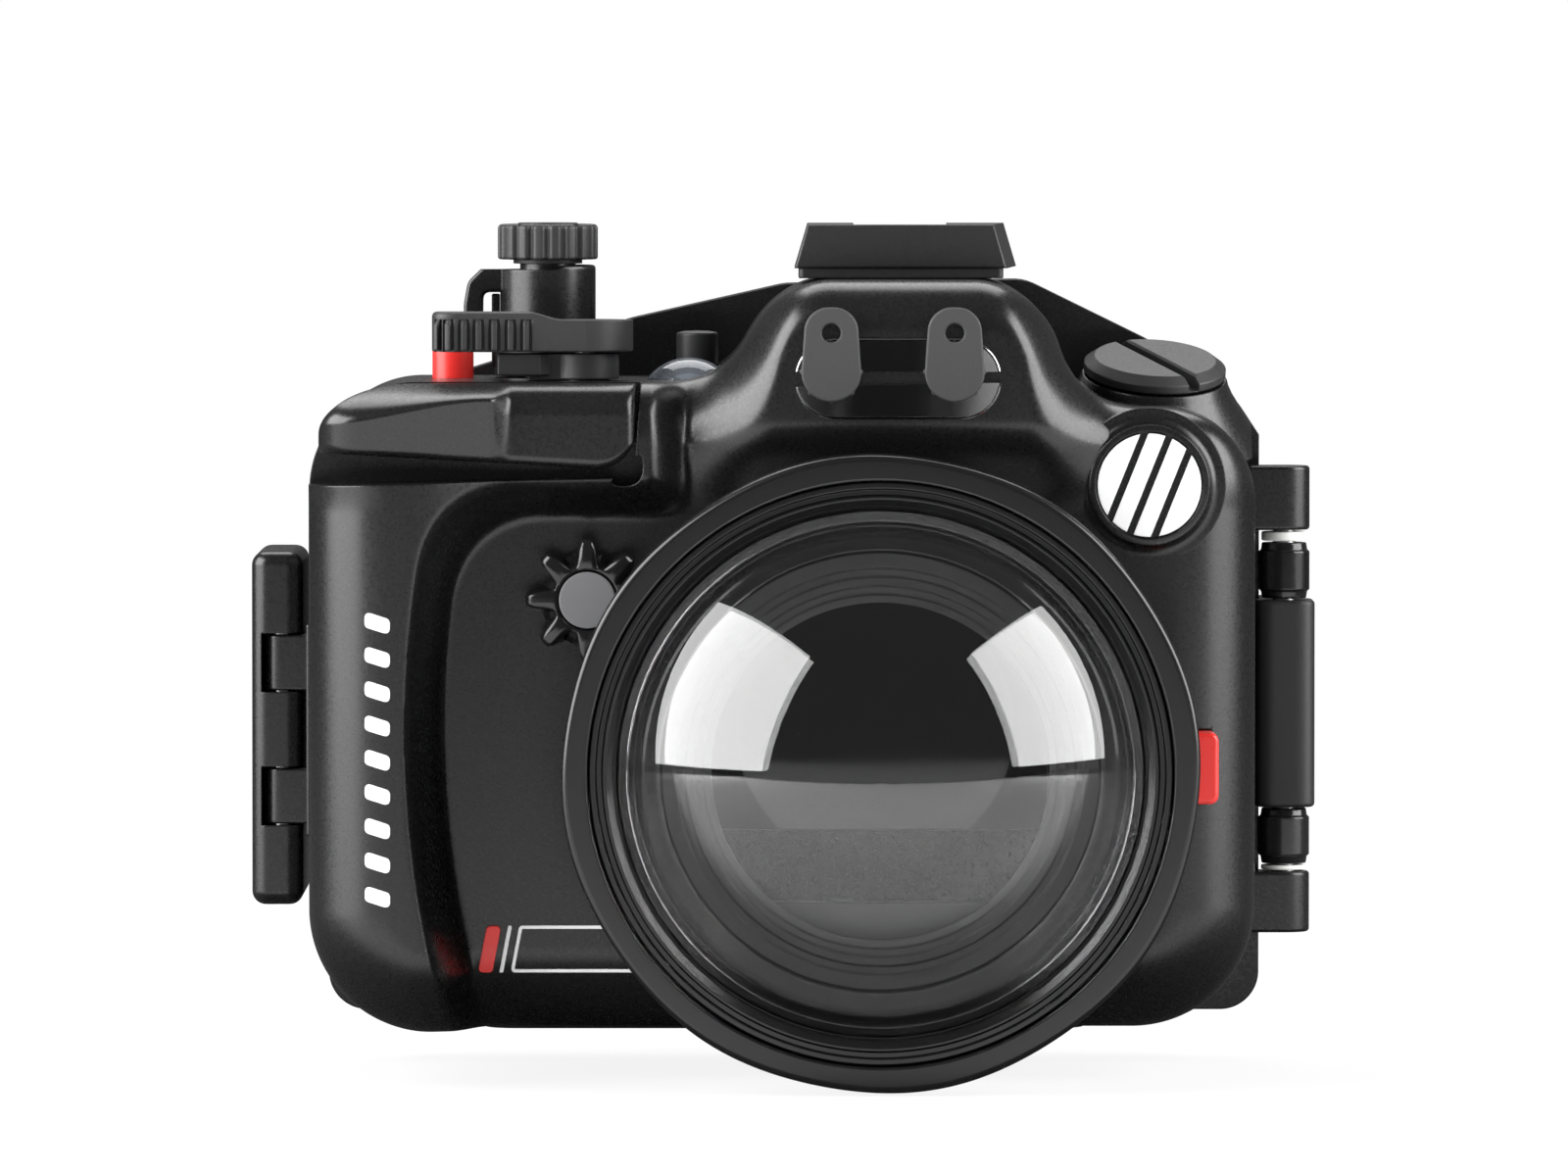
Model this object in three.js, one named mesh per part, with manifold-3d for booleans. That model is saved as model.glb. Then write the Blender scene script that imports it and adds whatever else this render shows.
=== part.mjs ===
// Underwater camera housing with a dome port, as separate pieces.
// Millimetres. X runs to the viewer's right, Y runs backwards, Z runs up.
// The origin is the middle of the base plate's bottom face.
import * as THREE from 'three';
import { mergeVertices } from 'three/addons/utils/BufferGeometryUtils.js';
import Module from 'manifold-3d';

const wasm = await Module();
wasm.setup();

// Driving dimensions of the two castings
const fit = 0.3;                  // clearance between pieces that touch or turn
const overrun = 2;                // how far every cut runs past the face it opens
const flatness = 0.02;            // how far faces may stray when flat neighbours are joined
const weldGap = 0.0001;            // points closer than this are one point
const shellLeft = -84.3;
const shellRight = 84.1;
const shellBottom = 0.8;
const deckLeft = 116.2;           // height of the deck on the grip side
const deckRight = 111.5;          // height of the deck under the vacuum plug
const faceY = -36;                // main front face
const partingY = 18;              // plane where the front shell meets the rear door
const doorBackY = 40;
const wall = 5;
const cornerBottom = 22;
const cornerTopLeft = 19;
const cornerTopRight = 17;
const edgeRound = 15;             // rounding of the front edge on the sides and the bottom
const deckRound = 9;              // rounding of the front edge along the deck

// Driving dimensions of the hump over the lens
const humpX = 21;
const humpTop = 134.2;
const humpHalfTop = 27.8;         // half width at the height where its rounded top begins
const humpFlare = 0.32;           // how much the half width grows for each millimetre down
const humpRound = 11;
const humpBlend = 11;             // size of the hollow curve where the hump meets the deck
const humpReach = 8;              // how far its front stands before the main face
const humpPanelZ = 121;           // height at which its raised front is humpPanelHalf wide each way
const humpPanelHalf = 27;
const humpPanelFlare = 0.45;      // how much that half width grows for each millimetre down
const humpPanelMost = 34;
const humpFootFront = 104;

// Driving dimensions of the grip bulge
const gripReach = 16;
const gripValleyX = -60;          // where the bulge's inner slope meets the flat panel
const gripValleyZ = 55;           // height at which that line lies furthest out
const gripSlope = 7.5;
const gripCorner = 16;          // size of the flat panel's rounded upper corner
const gripBow = 0.0028;
const bandZ = 92;                 // underside of the raised band below the grip shelf
const bandReach = 9;
const bandEnd = -24;

// Driving dimensions of the port
const portX = 17;
const portZ = 48.1;
const portOuter = 56.3;
const portFrontY = -66;
const portNeck = 36.2;
const portBore = 31.4;
const portSeatY = -40;            // front of the boss that the port seats on
const domeRadius = 52;
const domeWall = 4;
const domeBaseRadius = 46.6;
const domeSeatY = -60;

// Cavity for the camera
const cavityHalf = 73;
const cavityBottom = 13;
const cavityTop = 105.5;
const cavityFrontY = faceY + wall + 1.4 * fit;
const cavityCorner = 13;

// Raised lands on the front face
const mountRing = { outer: 44, land: 1.4, flank: 1.6, deep: 5.6, lug: 38.8, lugDeep: 3, slack: 1.1 };
const badge = { x: 64.8, z: 98, radius: 9.2, land: 1.6, bossY: -38.2, thick: 1 };

const seg = { fine: 40, round: 20, small: 10, arc: 3 };

const colours = {
  paint: new THREE.MeshStandardMaterial({ color: 0x1c1c1d, roughness: 0.45, metalness: 0.2 }),
  polymer: new THREE.MeshStandardMaterial({ color: 0x2a2b2c, roughness: 0.6, metalness: 0 }),
  rubber: new THREE.MeshStandardMaterial({ color: 0x4b4b4d, roughness: 0.8, metalness: 0 }),
  seal: new THREE.MeshStandardMaterial({ color: 0x141414, roughness: 0.7, metalness: 0 }),
  red: new THREE.MeshStandardMaterial({ color: 0xe5322f, roughness: 0.45, metalness: 0 }),
  steel: new THREE.MeshStandardMaterial({ color: 0xb9bbbe, roughness: 0.3, metalness: 1 }),
  disc: new THREE.MeshStandardMaterial({ color: 0x8a8b8e, roughness: 0.5, metalness: 0.4 }),
  washer: new THREE.MeshStandardMaterial({ color: 0xe9e9e6, roughness: 0.5, metalness: 0 }),
  clear: new THREE.MeshStandardMaterial({ color: 0xf4f7f8, roughness: 0.05, metalness: 0 }),
  board: new THREE.MeshStandardMaterial({ color: 0x1f5c38, roughness: 0.6, metalness: 0 }),
  white: new THREE.MeshStandardMaterial({ color: 0xf2f2f2, roughness: 0.5, metalness: 0 }),
};

// Shape helpers

// Turns a closed geometry into a solid whose faces point out.
function solid(geometry) {
  const bare = geometry.index ? geometry.toNonIndexed() : geometry.clone();
  bare.deleteAttribute('normal');
  bare.deleteAttribute('uv');
  const joined = mergeVertices(bare, weldGap);
  const place = joined.attributes.position.array;
  const faces = Array.from(joined.index.array);
  const kept = [];
  let volume = 0;
  const a = new THREE.Vector3();
  const b = new THREE.Vector3();
  const c = new THREE.Vector3();
  for (let i = 0; i < faces.length; i += 3) {
    const [p, q, r] = [faces[i], faces[i + 1], faces[i + 2]];
    if (p === q || q === r || r === p) continue;
    a.fromArray(place, 3 * p);
    b.fromArray(place, 3 * q);
    c.fromArray(place, 3 * r);
    volume += a.dot(b.cross(c));
    kept.push(p, q, r);
  }
  if (volume < 0) kept.reverse();
  return new wasm.Manifold(new wasm.Mesh({
    numProp: 3,
    vertProperties: Float32Array.from(place),
    triVerts: Uint32Array.from(kept),
  }));
}

function cut(body, ...tools) {
  return tools.reduce((left, tool) => left.subtract(tool), body);
}

function join(body, ...others) {
  return others.reduce((left, other) => left.add(other), body);
}

function geometryOf(body) {
  const mesh = body.simplify(flatness).getMesh();
  const geometry = new THREE.BufferGeometry();
  geometry.setAttribute('position', new THREE.BufferAttribute(mesh.vertProperties, 3));
  geometry.setIndex(new THREE.BufferAttribute(mesh.triVerts, 1));
  return geometry;
}

// A block between two corners.
function block(x0, x1, y0, y1, z0, z1) {
  const box = new THREE.BoxGeometry(x1 - x0, y1 - y0, z1 - z0);
  return solid(box.translate((x0 + x1) / 2, (y0 + y1) / 2, (z0 + z1) / 2));
}

const standing = {
  x: (geometry) => geometry.rotateZ(-Math.PI / 2),
  y: (geometry) => geometry,
  z: (geometry) => geometry.rotateX(Math.PI / 2),
};

// A round bar along one axis, from one height to another, centred on at = [x, y, z].
function rod(axis, radius, from, to, at, sides = seg.small) {
  const bar = new THREE.CylinderGeometry(radius, radius, to - from, sides);
  bar.translate(0, (from + to) / 2, 0);
  return solid(standing[axis](bar).translate(...at));
}

// A turned piece: its closed profile is a list of [radius, height] along the axis.
function turned(axis, profile, at, sides = seg.round) {
  const points = profile.map(([radius, height]) => new THREE.Vector2(radius, height));
  const open = profile[0][0] === 0 && profile[profile.length - 1][0] === 0;
  if (!open) points.push(points[0].clone());
  const lathe = new THREE.LatheGeometry(points, sides);
  return solid(standing[axis](lathe).translate(...at));
}

// A rounded rectangle between two corners of a drawing plane.
function roundedRect(x0, x1, y0, y1, radius) {
  const shape = new THREE.Shape();
  shape.moveTo(x0 + radius, y0);
  shape.lineTo(x1 - radius, y0);
  shape.absarc(x1 - radius, y0 + radius, radius, -Math.PI / 2, 0);
  shape.absarc(x1 - radius, y1 - radius, radius, 0, Math.PI / 2);
  shape.absarc(x0 + radius, y1 - radius, radius, Math.PI / 2, Math.PI);
  shape.absarc(x0 + radius, y0 + radius, radius, Math.PI, 1.5 * Math.PI);
  return shape;
}

function outline(points) {
  return new THREE.Shape(points.map(([x, y]) => new THREE.Vector2(x, y)));
}

// A drawing of the front view (x, z) made solid between two depths y0 and y1.
function prismY(shape, y0, y1, arc = seg.arc) {
  const raised = new THREE.ExtrudeGeometry(shape, { depth: y1 - y0, bevelEnabled: false,
    curveSegments: arc });
  return solid(raised.rotateX(Math.PI / 2).translate(0, y1, 0));
}

// A drawing of the plan (x, y) made solid between two heights z0 and z1.
function prismZ(shape, z0, z1, arc = seg.arc) {
  const raised = new THREE.ExtrudeGeometry(shape, { depth: z1 - z0, bevelEnabled: false,
    curveSegments: arc });
  return solid(raised.translate(0, 0, z0));
}

// A drawing of the side view (y, z) made solid between two places x0 and x1.
function gridSolid(rows, wrapRows) {
  const count = rows[0].length;
  const positions = rows.flat(2);
  const index = [];
  const last = wrapRows ? rows.length : rows.length - 1;
  for (let r = 0; r < last; r += 1) {
    for (let c = 0; c < count; c += 1) {
      const here = r * count + c;
      const beside = r * count + ((c + 1) % count);
      const above = ((r + 1) % rows.length) * count + c;
      const across = ((r + 1) % rows.length) * count + ((c + 1) % count);
      index.push(here, beside, across, here, across, above);
    }
  }
  const geometry = new THREE.BufferGeometry();
  geometry.setAttribute('position', new THREE.Float32BufferAttribute(positions, 3));
  geometry.setIndex(index);
  return solid(geometry);
}

// Points round a rounded rectangle in the front view.
function rectLoop(x0, x1, z0, z1, radius, arc) {
  const loop = roundedRect(x0, x1, z0, z1, radius).getPoints(arc);
  const first = loop[0];
  return loop.filter((p,
    i) => i === 0 || (p.distanceTo(loop[i - 1]) > weldGap && p.distanceTo(first) > weldGap));
}

// A seal that follows a rounded rectangle in the front view.
function rectSeal(x0, x1, z0, z1, radius, y, thick, arc) {
  const rows = [];
  const sides = 6;
  for (let s = 0; s < sides; s += 1) {
    const angle = (s / sides) * 2 * Math.PI;
    const out = thick * Math.cos(angle);
    const loop = rectLoop(x0 - out, x1 + out, z0 - out, z1 + out, radius + out, arc);
    rows.push(loop.map((p) => [p.x, y + thick * Math.sin(angle), p.y]));
  }
  return gridSolid(rows, true);
}

// A round seal about an axis.
function ringSeal(axis, radius, height, thick, at, sides = 30) {
  const profile = [];
  const corners = 5;
  for (let s = 0; s < corners; s += 1) {
    const angle = (s / corners) * 2 * Math.PI;
    profile.push([radius + thick * Math.cos(angle), height + thick * Math.sin(angle)]);
  }
  return turned(axis, profile, at, sides);
}

const housing = new THREE.Group();

// Puts a named piece in the housing.
function place(name, body, material, parent = housing) {
  const mesh = new THREE.Mesh(geometryOf(body), colours[material]);
  mesh.name = name;
  parent.add(mesh);
  return mesh;
}

// The outer form of the front shell

function step(from, to, value) {
  const t = Math.min(Math.max((value - from) / (to - from), 0), 1);
  return t * t * (3 - 2 * t);
}

// The smaller of two values, with a soft change from one to the other.
function softMin(a, b, size) {
  const near = Math.max(size - Math.abs(a - b), 0) / size;
  return Math.min(a, b) - near * near * size / 4;
}

// Distance from a point to a rounded rectangle, negative inside.
function rectDistance(x, z, x0, x1, z0, z1, radius) {
  const qx = Math.abs(x - (x0 + x1) / 2) - (x1 - x0) / 2 + radius;
  const qz = Math.abs(z - (z0 + z1) / 2) - (z1 - z0) / 2 + radius;
  return Math.hypot(Math.max(qx, 0), Math.max(qz, 0)) + Math.min(Math.max(qx, qz), 0) - radius;
}

// Distance from the shell's outline, negative inside: two boxes for the two deck heights,
// and the hump on top of them.
function shellDistance(x, z) {
  const middle = (shellBottom + deckRight) / 2;
  const leftCorner = z < middle ? cornerBottom : cornerTopLeft;
  const rightCorner = z < middle ? cornerBottom : cornerTopRight;
  const left = rectDistance(x, z, shellLeft, humpX + cornerBottom, shellBottom, deckLeft, leftCorner);
  const right = rectDistance(x, z, humpX - cornerBottom, shellRight, shellBottom, deckRight, rightCorner);
  const shoulder = humpTop - humpRound;
  const flare = humpHalfTop + humpFlare * Math.min(shoulder - z, shoulder - deckRight + wall);
  const qx = (Math.abs(x - humpX) - flare) / Math.hypot(1, humpFlare) + humpRound;
  const qz = Math.max(z - humpTop, cavityBottom - z) + humpRound;
  const hump = Math.hypot(Math.max(qx, 0), Math.max(qz, 0)) + Math.min(Math.max(qx, qz), 0) - humpRound;
  return softMin(Math.min(left, right), hump, humpBlend);
}

// How far the face stands forward of the main face.
function relief(x, z) {
  const valley = gripValleyX + gripBow * (z - gripValleyZ) ** 2;
  const fromPanel = -softMin(x - valley, bandZ - z, gripCorner);
  const reach = bandReach + (gripReach - bandReach) * step(gripValleyX + 2 * gripSlope,
    gripValleyX - gripSlope, x);
  const side = step(bandEnd + gripSlope, bandEnd, x);
  const grip = reach * side * step(0, gripSlope, fromPanel);
  const half = Math.min(humpPanelHalf + humpPanelFlare * (humpPanelZ - z), humpPanelMost);
  const across = step(half + humpBlend / 2, half - humpBlend / 2, Math.abs(x - humpX));
  const hump = humpReach * across * step(humpFootFront - humpBlend, humpFootFront + humpBlend / 2, z);
  return Math.max(grip, 0) + hump;
}

// Depth of the shell's front surface at a point of the front view.
function frontDepth(x, z) {
  const inside = Math.max(-shellDistance(x, z), 0);
  const round = edgeRound + (deckRound - edgeRound) * step(deckRight - 2 * deckRound, deckRight, z);
  const near = Math.max(round - inside, 0);
  const fall = round - Math.sqrt(Math.max(round * round - near * near, 0));
  return faceY - relief(x, z) + fall;
}

// A round land raised on the front face, with a sloping flank.
function frontLand(x, z, radius, y) {
  const foot = faceY + wall;
  const flank = (foot - y) / mountRing.flank;
  return turned('y', [[0, y], [radius, y], [radius + flank, foot], [0, foot]], [x, 0, z], seg.fine);
}

// Height of the shell's edge over one place of its width, looked for upwards or downwards.
function edgeHeight(x, up) {
  let inner = (shellBottom + deckRight) / 2;
  let outer = up ? humpTop + overrun : shellBottom - overrun;
  const halvings = 30;
  for (let i = 0; i < halvings; i += 1) {
    const middle = (inner + outer) / 2;
    if (shellDistance(x, middle) < 0) inner = middle;
    else outer = middle;
  }
  return inner;
}

// Share of the way from 0 to 1, closer together near both ends.
function eased(i, count) {
  return (1 - Math.cos((i / count) * Math.PI)) / 2;
}

// A block with a shaped front and back: a grid of columns between a lower and an upper edge.
function facedBlock({ x0, x1, columns, rows, low, high, front, back }) {
  const positions = [];
  const index = [];
  const rowCount = rows + 1;
  for (const side of [front, back]) {
    for (let i = 0; i <= columns; i += 1) {
      const x = x0 + (x1 - x0) * (eased(i, columns) + i / columns) / 2;
      for (let j = 0; j <= rows; j += 1) {
        const z = low(x) + (high(x) - low(x)) * (eased(j, rows) + j / rows) / 2;
        positions.push(x, side(x, z), z);
      }
    }
  }
  const behind = (columns + 1) * rowCount;
  for (let i = 0; i < columns; i += 1) {
    for (let j = 0; j < rows; j += 1) {
      const here = i * rowCount + j;
      const beside = here + rowCount;
      index.push(here, beside, beside + 1, here, beside + 1, here + 1);
      const [far, next] = [behind + here, behind + beside];
      index.push(far, next + 1, next, far, far + 1, next + 1);
    }
  }
  const rim = [];
  for (let i = 0; i < columns; i += 1) rim.push(i * rowCount);
  for (let j = 0; j < rows; j += 1) rim.push(columns * rowCount + j);
  for (let i = columns; i > 0; i -= 1) rim.push(i * rowCount + rows);
  for (let j = rows; j > 0; j -= 1) rim.push(j);
  rim.forEach((here, n) => {
    const next = rim[(n + 1) % rim.length];
    index.push(here, behind + here, behind + next, here, behind + next, next);
  });
  const geometry = new THREE.BufferGeometry();
  geometry.setAttribute('position', new THREE.Float32BufferAttribute(positions, 3));
  geometry.setIndex(index);
  return solid(geometry);
}

function shellBlock(columns, rows) {
  const inward = (x) => Math.min(Math.max(x, shellLeft + fit / 10), shellRight - fit / 10);
  return facedBlock({
    x0: shellLeft,
    x1: shellRight,
    columns,
    rows,
    low: (x) => edgeHeight(inward(x), false),
    high: (x) => edgeHeight(inward(x), true),
    front: frontDepth,
    back: () => partingY,
  });
}

// Sizes of the pieces, which the shell's cuts follow too
const shelf = {
  floorY: -34, pocketBottom: 98, pocketRight: -24.9, corner: 7, left: -82.4, right: -26.3,
  endZ: 103.4, lowLeft: 104, lowRight: 100.8, top: 116, topRound: 17, ridgeX: -52, ridgeRun: 4,
  ridgeLow: 109, ridgeHigh: 113.2, scoopY: -50, flatY: -46.5, brim: 5.5, undercut: 0.22,
};
const basePlate = { halfX: 54, halfY: 17, thick: 6, corner: 6, headRadius: 3.4, headDeep: 2.4 };
const baseScrew = { x: basePlate.halfX - 10, y: 0, radius: 1.9, reach: 3.6, recess: 0.4 };
const flash = {
  left: 1.9, right: 38.5, low: 109.8, high: 124.2, frontY: -45.2, floorY: -40,
  apertureLeft: 12.5, apertureRight: 27.9, apertureLow: 112.3, apertureHigh: 121.7,
};
const fibre = { xs: [8.35, 30.15], z: 118.3, stem: 2.9, cap: 5.6, capY: -48.4, tabTop: 129.7, tabHalf: 4.8,
  tabThick: 1.8, tabHole: 1.6, holeDrop: 4.5, stemIn: 4 };
const humpCavity = { half: 17, top: 127.5, backY: 6 };
const gripCavity = { left: -78.5, right: -66.5, low: 18, high: 86, frontY: -44 };
const turret = { x: -42.5, y: 2, radius: 8.6, base: 9.6, baseTop: 123.4, neck: 5, neckTop: 137, spigot: 6,
  bore: 3.1 };
const dial = { radius: 9, low: 137.4, high: 144, shaft: 2.8, ribs: 16, wheel: 6, wheelLow: 98,
  wheelHigh: 102 };
const lever = {
  x: -35.5, y: -22, hub: 8.6, bush: 6.1, spigot: 4.4, bore: 2.3, shaft: 2, low: 121.4, hubTop: 127,
  armTop: 128.5, left: -62.7, frontY: -30.2, backY: -20.5, curveLeft: -46, curveRight: -39.5, cap: 6,
  capTop: 127.9, stopLeft: -51, stopRight: -43.5, ribs: 7, ribPitch: 2.73, ribDeep: 0.7,
  fingerLow: 98, fingerHigh: 101, fingerReach: 11,
};
const videoButton = { x: -59.5, y: -2, radius: 3.7, low: 114.8, high: 122.8, travel: 1.5, stem: 1.6 };
const topButton = { x: -15.6, y: 2, radius: 3.8, low: 114.8, high: 124.6, travel: 1.5, stem: 1.6 };
const status = { x: -17, y: -14, radius: 7.4, seat: 112.4, rise: 3.9, rim: 1.2, bore: 3, bead: 2.3 };
const zoom = { x: -34.8, z: 77.9, bore: 3.3, shaft: 3, hub: 8.3, lobe: 11, lobes: 8, backY: -37.2,
  frontY: -45.6,
  disc: 5, discThick: 0.9, innerY: -14, gear: 7, gearThick: 5, teeth: 16, toothDeep: 1.1 };
const plug = { x: 66.6, y: -1, z: 116.9, lean: 16.2, side: 3.2, radius: 12.4, thick: 3, chamfer: 1.1,
  slot: 2.2,
  slotDeep: 1.7, slotTurn: -57, spigot: 6, spigotDeep: 8, vent: 3.5, ventShare: 2.2, bossTop: 13.2,
    bossFoot: 16, bossDeep: 12 };
const lock = { left: 64.5, right: 77, low: 41.6, high: 54.3, frontY: -42.6, backY: -34.6, corner: 1.6,
  travel: 2.5 };
const hinge = {
  x: 90.5, y: 14, radius: 4.6, pin: 2, upperLow: 88.3, upperHigh: 99.9, lowerLow: 15.5, lowerHigh: 26.5,
  leafLow: 38.2, leafHigh: 75.6, leafRadius: 5.6, leafBackY: 36, leafRight: 95, bushHigh: 86, bushLow: 27.9,
  washer: 4.1, end: 1.8,
};
const latch = {
  pinX: -90.4, pinY: -1, pin: 1.8, left: -95.7, inner: -86.5, frontY: -5, backY: 34, low: 21.4, high: 84.9,
  round: 3, knuckles: [[36, 46], [60, 70]], plateLeft: -85.8, plateLow: 34, plateHigh: 72, plateFrontY: -8,
  plateBackY: 10, knuckle: 3.2, catchFrontY: 22, catchBackY: 27, catchOut: 2.2, hookOut: 1.4,
    hookDeep: 3.1, hookLow: 38, hookHigh: 68,
};
const door = {
  left: -82.6, right: 86.1, bottom: 1, corner: 7, round: 5, backWall: 4.3, cavityHalf: 72,
  cavityLow: 14, cavityHigh: 104,
  roofShares: [[0, 0.79], [0.02, 0.835], [0.11, 0.862], [0.326, 0.947], [0.49, 0.994], [0.749, 1], [0.881,
    0.918],
    [0.975, 0.838], [1, 0.79]],
  roofTop: 133.4,
};
const seal = { inset: 5.7, top: 108.4, bottom: 7, corner: 17, thick: 1.3 };
const screen = { left: -34, right: 50, low: 32, high: 92, lap: 4, thick: 2, seatY: 37, bezelLap: 7,
  bezelThick: 1.6,
  corner: 3 };
const shoe = {
  left: 1.9, right: 39.8, rearRight: 41.9, topInset: 2.3, frontY: -18, backY: 8, footTop: humpTop + 1.9,
  footInset: 0.7, top: humpTop + 9.7, frontWall: 3, slotHalf: 8.4, railUnder: 1.3, floor: humpTop + 3.4,
  railLow: humpTop + 5.7, screwY: [-8, 2],
  screw: 1.2, head: 2.4, headHigh: 1.4, grip: 4,
};
const tray = { half: 42, frontY: -24, backY: 12, thick: 5.5, lip: 3, lipHigh: 4, screwX: 10, screwY: -6,
  head: 6,
  headThick: 2.5, shank: 3, screwTop: 22 };
const alarm = { left: -31, right: -9, frontY: -25, backY: -3, thick: 1.6, cell: 10, cellThick: 1.7,
  cellX: -20,
  cellY: -14 };
const sensor = { left: 50, right: 62, frontY: -20, backY: -14, high: 2 };
const rearButtons = {
  menu_button: [-55, 24], playback_button: [-69, 24], info_button: [-69, 67], set_button: [-62, 45],
};
const rearButton = { radius: 3.6, stem: 1.6, outY: 43.4, travel: 1.5, innerY: 32, collar: 3 };
const rearDial = { radius: 9, bore: 4.6, thick: 3, ribs: 12 };

// Front casting

// Tilts a solid to the vacuum plug's axis and puts it at the plug's place.
const plugTurn = new THREE.Euler(THREE.MathUtils.degToRad(plug.lean), THREE.MathUtils.degToRad(plug.side),
  0, 'YXZ');
const plugMatrix = new THREE.Matrix4().makeRotationFromEuler(plugTurn).setPosition(plug.x, plug.y, plug.z);

function tilted(body) {
  return body.transform(Array.from(plugMatrix.elements));
}

function humpChamber() {
  const shape = roundedRect(humpX - humpCavity.half, humpX + humpCavity.half, cavityTop - wall,
    humpCavity.top, wall);
  return prismY(shape, cavityFrontY, humpCavity.backY);
}

function cameraCavity() {
  const shape = roundedRect(-cavityHalf, cavityHalf, cavityBottom, cavityTop, cavityCorner);
  const main = prismY(shape, cavityFrontY, partingY + overrun);
  const gripShape = roundedRect(gripCavity.left, gripCavity.right, gripCavity.low, gripCavity.high, wall);
  const grip = prismY(gripShape, gripCavity.frontY, cavityFrontY + 2 * wall);
  return join(main, grip, humpChamber());
}

// A stepped bore down through the deck: a wide recess, then a narrow hole into the cavity.
function deckBore(x, y, wide, wideFloor, narrow) {
  const top = deckLeft + 2 * overrun;
  const open = rod('z', wide, wideFloor, top, [x, y, 0], seg.round);
  return join(open, rod('z', narrow, cavityTop - overrun, top, [x, y, 0], seg.small));
}

function shelfPocket() {
  const { pocketBottom: low, pocketRight: right, corner } = shelf;
  const shape = new THREE.Shape();
  shape.moveTo(shellLeft - overrun, low);
  shape.lineTo(right - corner, low);
  shape.absarc(right - corner, low + corner, corner, -Math.PI / 2, 0);
  shape.lineTo(right, deckLeft + overrun);
  shape.lineTo(shellLeft - overrun, deckLeft + overrun);
  return prismY(shape, faceY - 2 * gripReach, shelf.floorY);
}

function portBores() {
  const seat = rod('y', mountRing.outer + fit, portSeatY - overrun, portSeatY + mountRing.deep + fit,
    [portX, 0, portZ], seg.fine);
  const through = rod('y', mountRing.lug + fit, portSeatY, cavityFrontY + overrun, [portX, 0, portZ],
    seg.fine);
  return join(seat, through);
}

function flashBores() {
  const grown = roundedRect(flash.left - fit, flash.right + fit, flash.low - fit, flash.high + fit,
    (flash.high - flash.low) / 2);
  const seat = prismY(grown, flash.frontY - overrun, flash.floorY);
  const light = roundedRect(flash.apertureLeft, flash.apertureRight, flash.apertureLow, flash.apertureHigh,
    fit);
  return join(seat, prismY(light, flash.floorY - overrun, cavityFrontY + overrun, 1));
}

function baseBores() {
  const { halfX, halfY, thick, corner } = basePlate;
  const pocket = prismZ(roundedRect(-halfX - fit, halfX + fit, -halfY - fit, halfY + fit, corner),
    -overrun, thick + fit);
  const holes = [-baseScrew.x, baseScrew.x].map((x) => rod('z', baseScrew.radius + fit, 0,
    thick + baseScrew.reach + fit, [x, baseScrew.y, 0]));
  return join(pocket, ...holes);
}

function lockChannel() {
  return block(lock.left - overrun, lock.right + lock.travel + edgeRound, lock.frontY - overrun,
    lock.backY + fit,
    lock.low - fit, lock.high + fit);
}

function plugBoss() {
  const foot = -plug.bossDeep;
  return tilted(turned('z', [[0, foot], [plug.bossFoot, foot], [plug.bossTop, -fit], [0, -fit]], [0, 0, 0]));
}

function plugBore() {
  const deep = -plug.spigotDeep - fit;
  return tilted(join(rod('z', plug.spigot + fit, deep, overrun, [0, 0, 0], seg.round),
    rod('z', plug.vent, plug.ventShare * deep, 0, [0, 0, 0])));
}

function shoeBores() {
  const x = (shoe.left + shoe.right) / 2;
  return shoe.screwY.map((y) => rod('z', shoe.screw + fit, humpTop - shoe.grip - fit, humpTop + overrun,
    [x, y, 0]));
}

function frontShell() {
  const kept = block(shellLeft, shellRight - fit, faceY - gripReach, partingY - fit, shellBottom + fit,
    humpTop);
  const lands = join(
    plugBoss(),
    frontLand(portX, portZ, mountRing.outer + mountRing.land, portSeatY),
    frontLand(badge.x, badge.z, badge.radius + badge.land, badge.bossY),
  ).intersect(kept);
  const body = join(shellBlock(32, 22), lands);
  return cut(
    body,
    cameraCavity(),
    shelfPocket(),
    portBores(),
    flashBores(),
    baseBores(),
    lockChannel(),
    plugBore(),
    ...shoeBores(),
    rod('y', badge.radius + fit, badge.bossY - overrun, badge.bossY + badge.thick, [badge.x, 0, badge.z],
      seg.round),
    rod('y', zoom.bore, faceY - overrun, cavityFrontY + overrun, [zoom.x, 0, zoom.z]),
    deckBore(turret.x, turret.y, turret.spigot + fit, cavityTop - overrun, turret.bore),
    deckBore(lever.x, lever.y, lever.spigot + fit, cavityTop - overrun, lever.bore),
    deckBore(videoButton.x, videoButton.y, videoButton.radius + fit,
      videoButton.low - videoButton.travel - fit,
      videoButton.stem + fit),
    deckBore(topButton.x, topButton.y, topButton.radius + fit, topButton.low - topButton.travel - fit,
      topButton.stem + fit),
    deckBore(status.x, status.y, status.radius + fit, status.seat - fit, status.bore),
  );
}

place('front_shell', frontShell(), 'paint');

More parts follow.
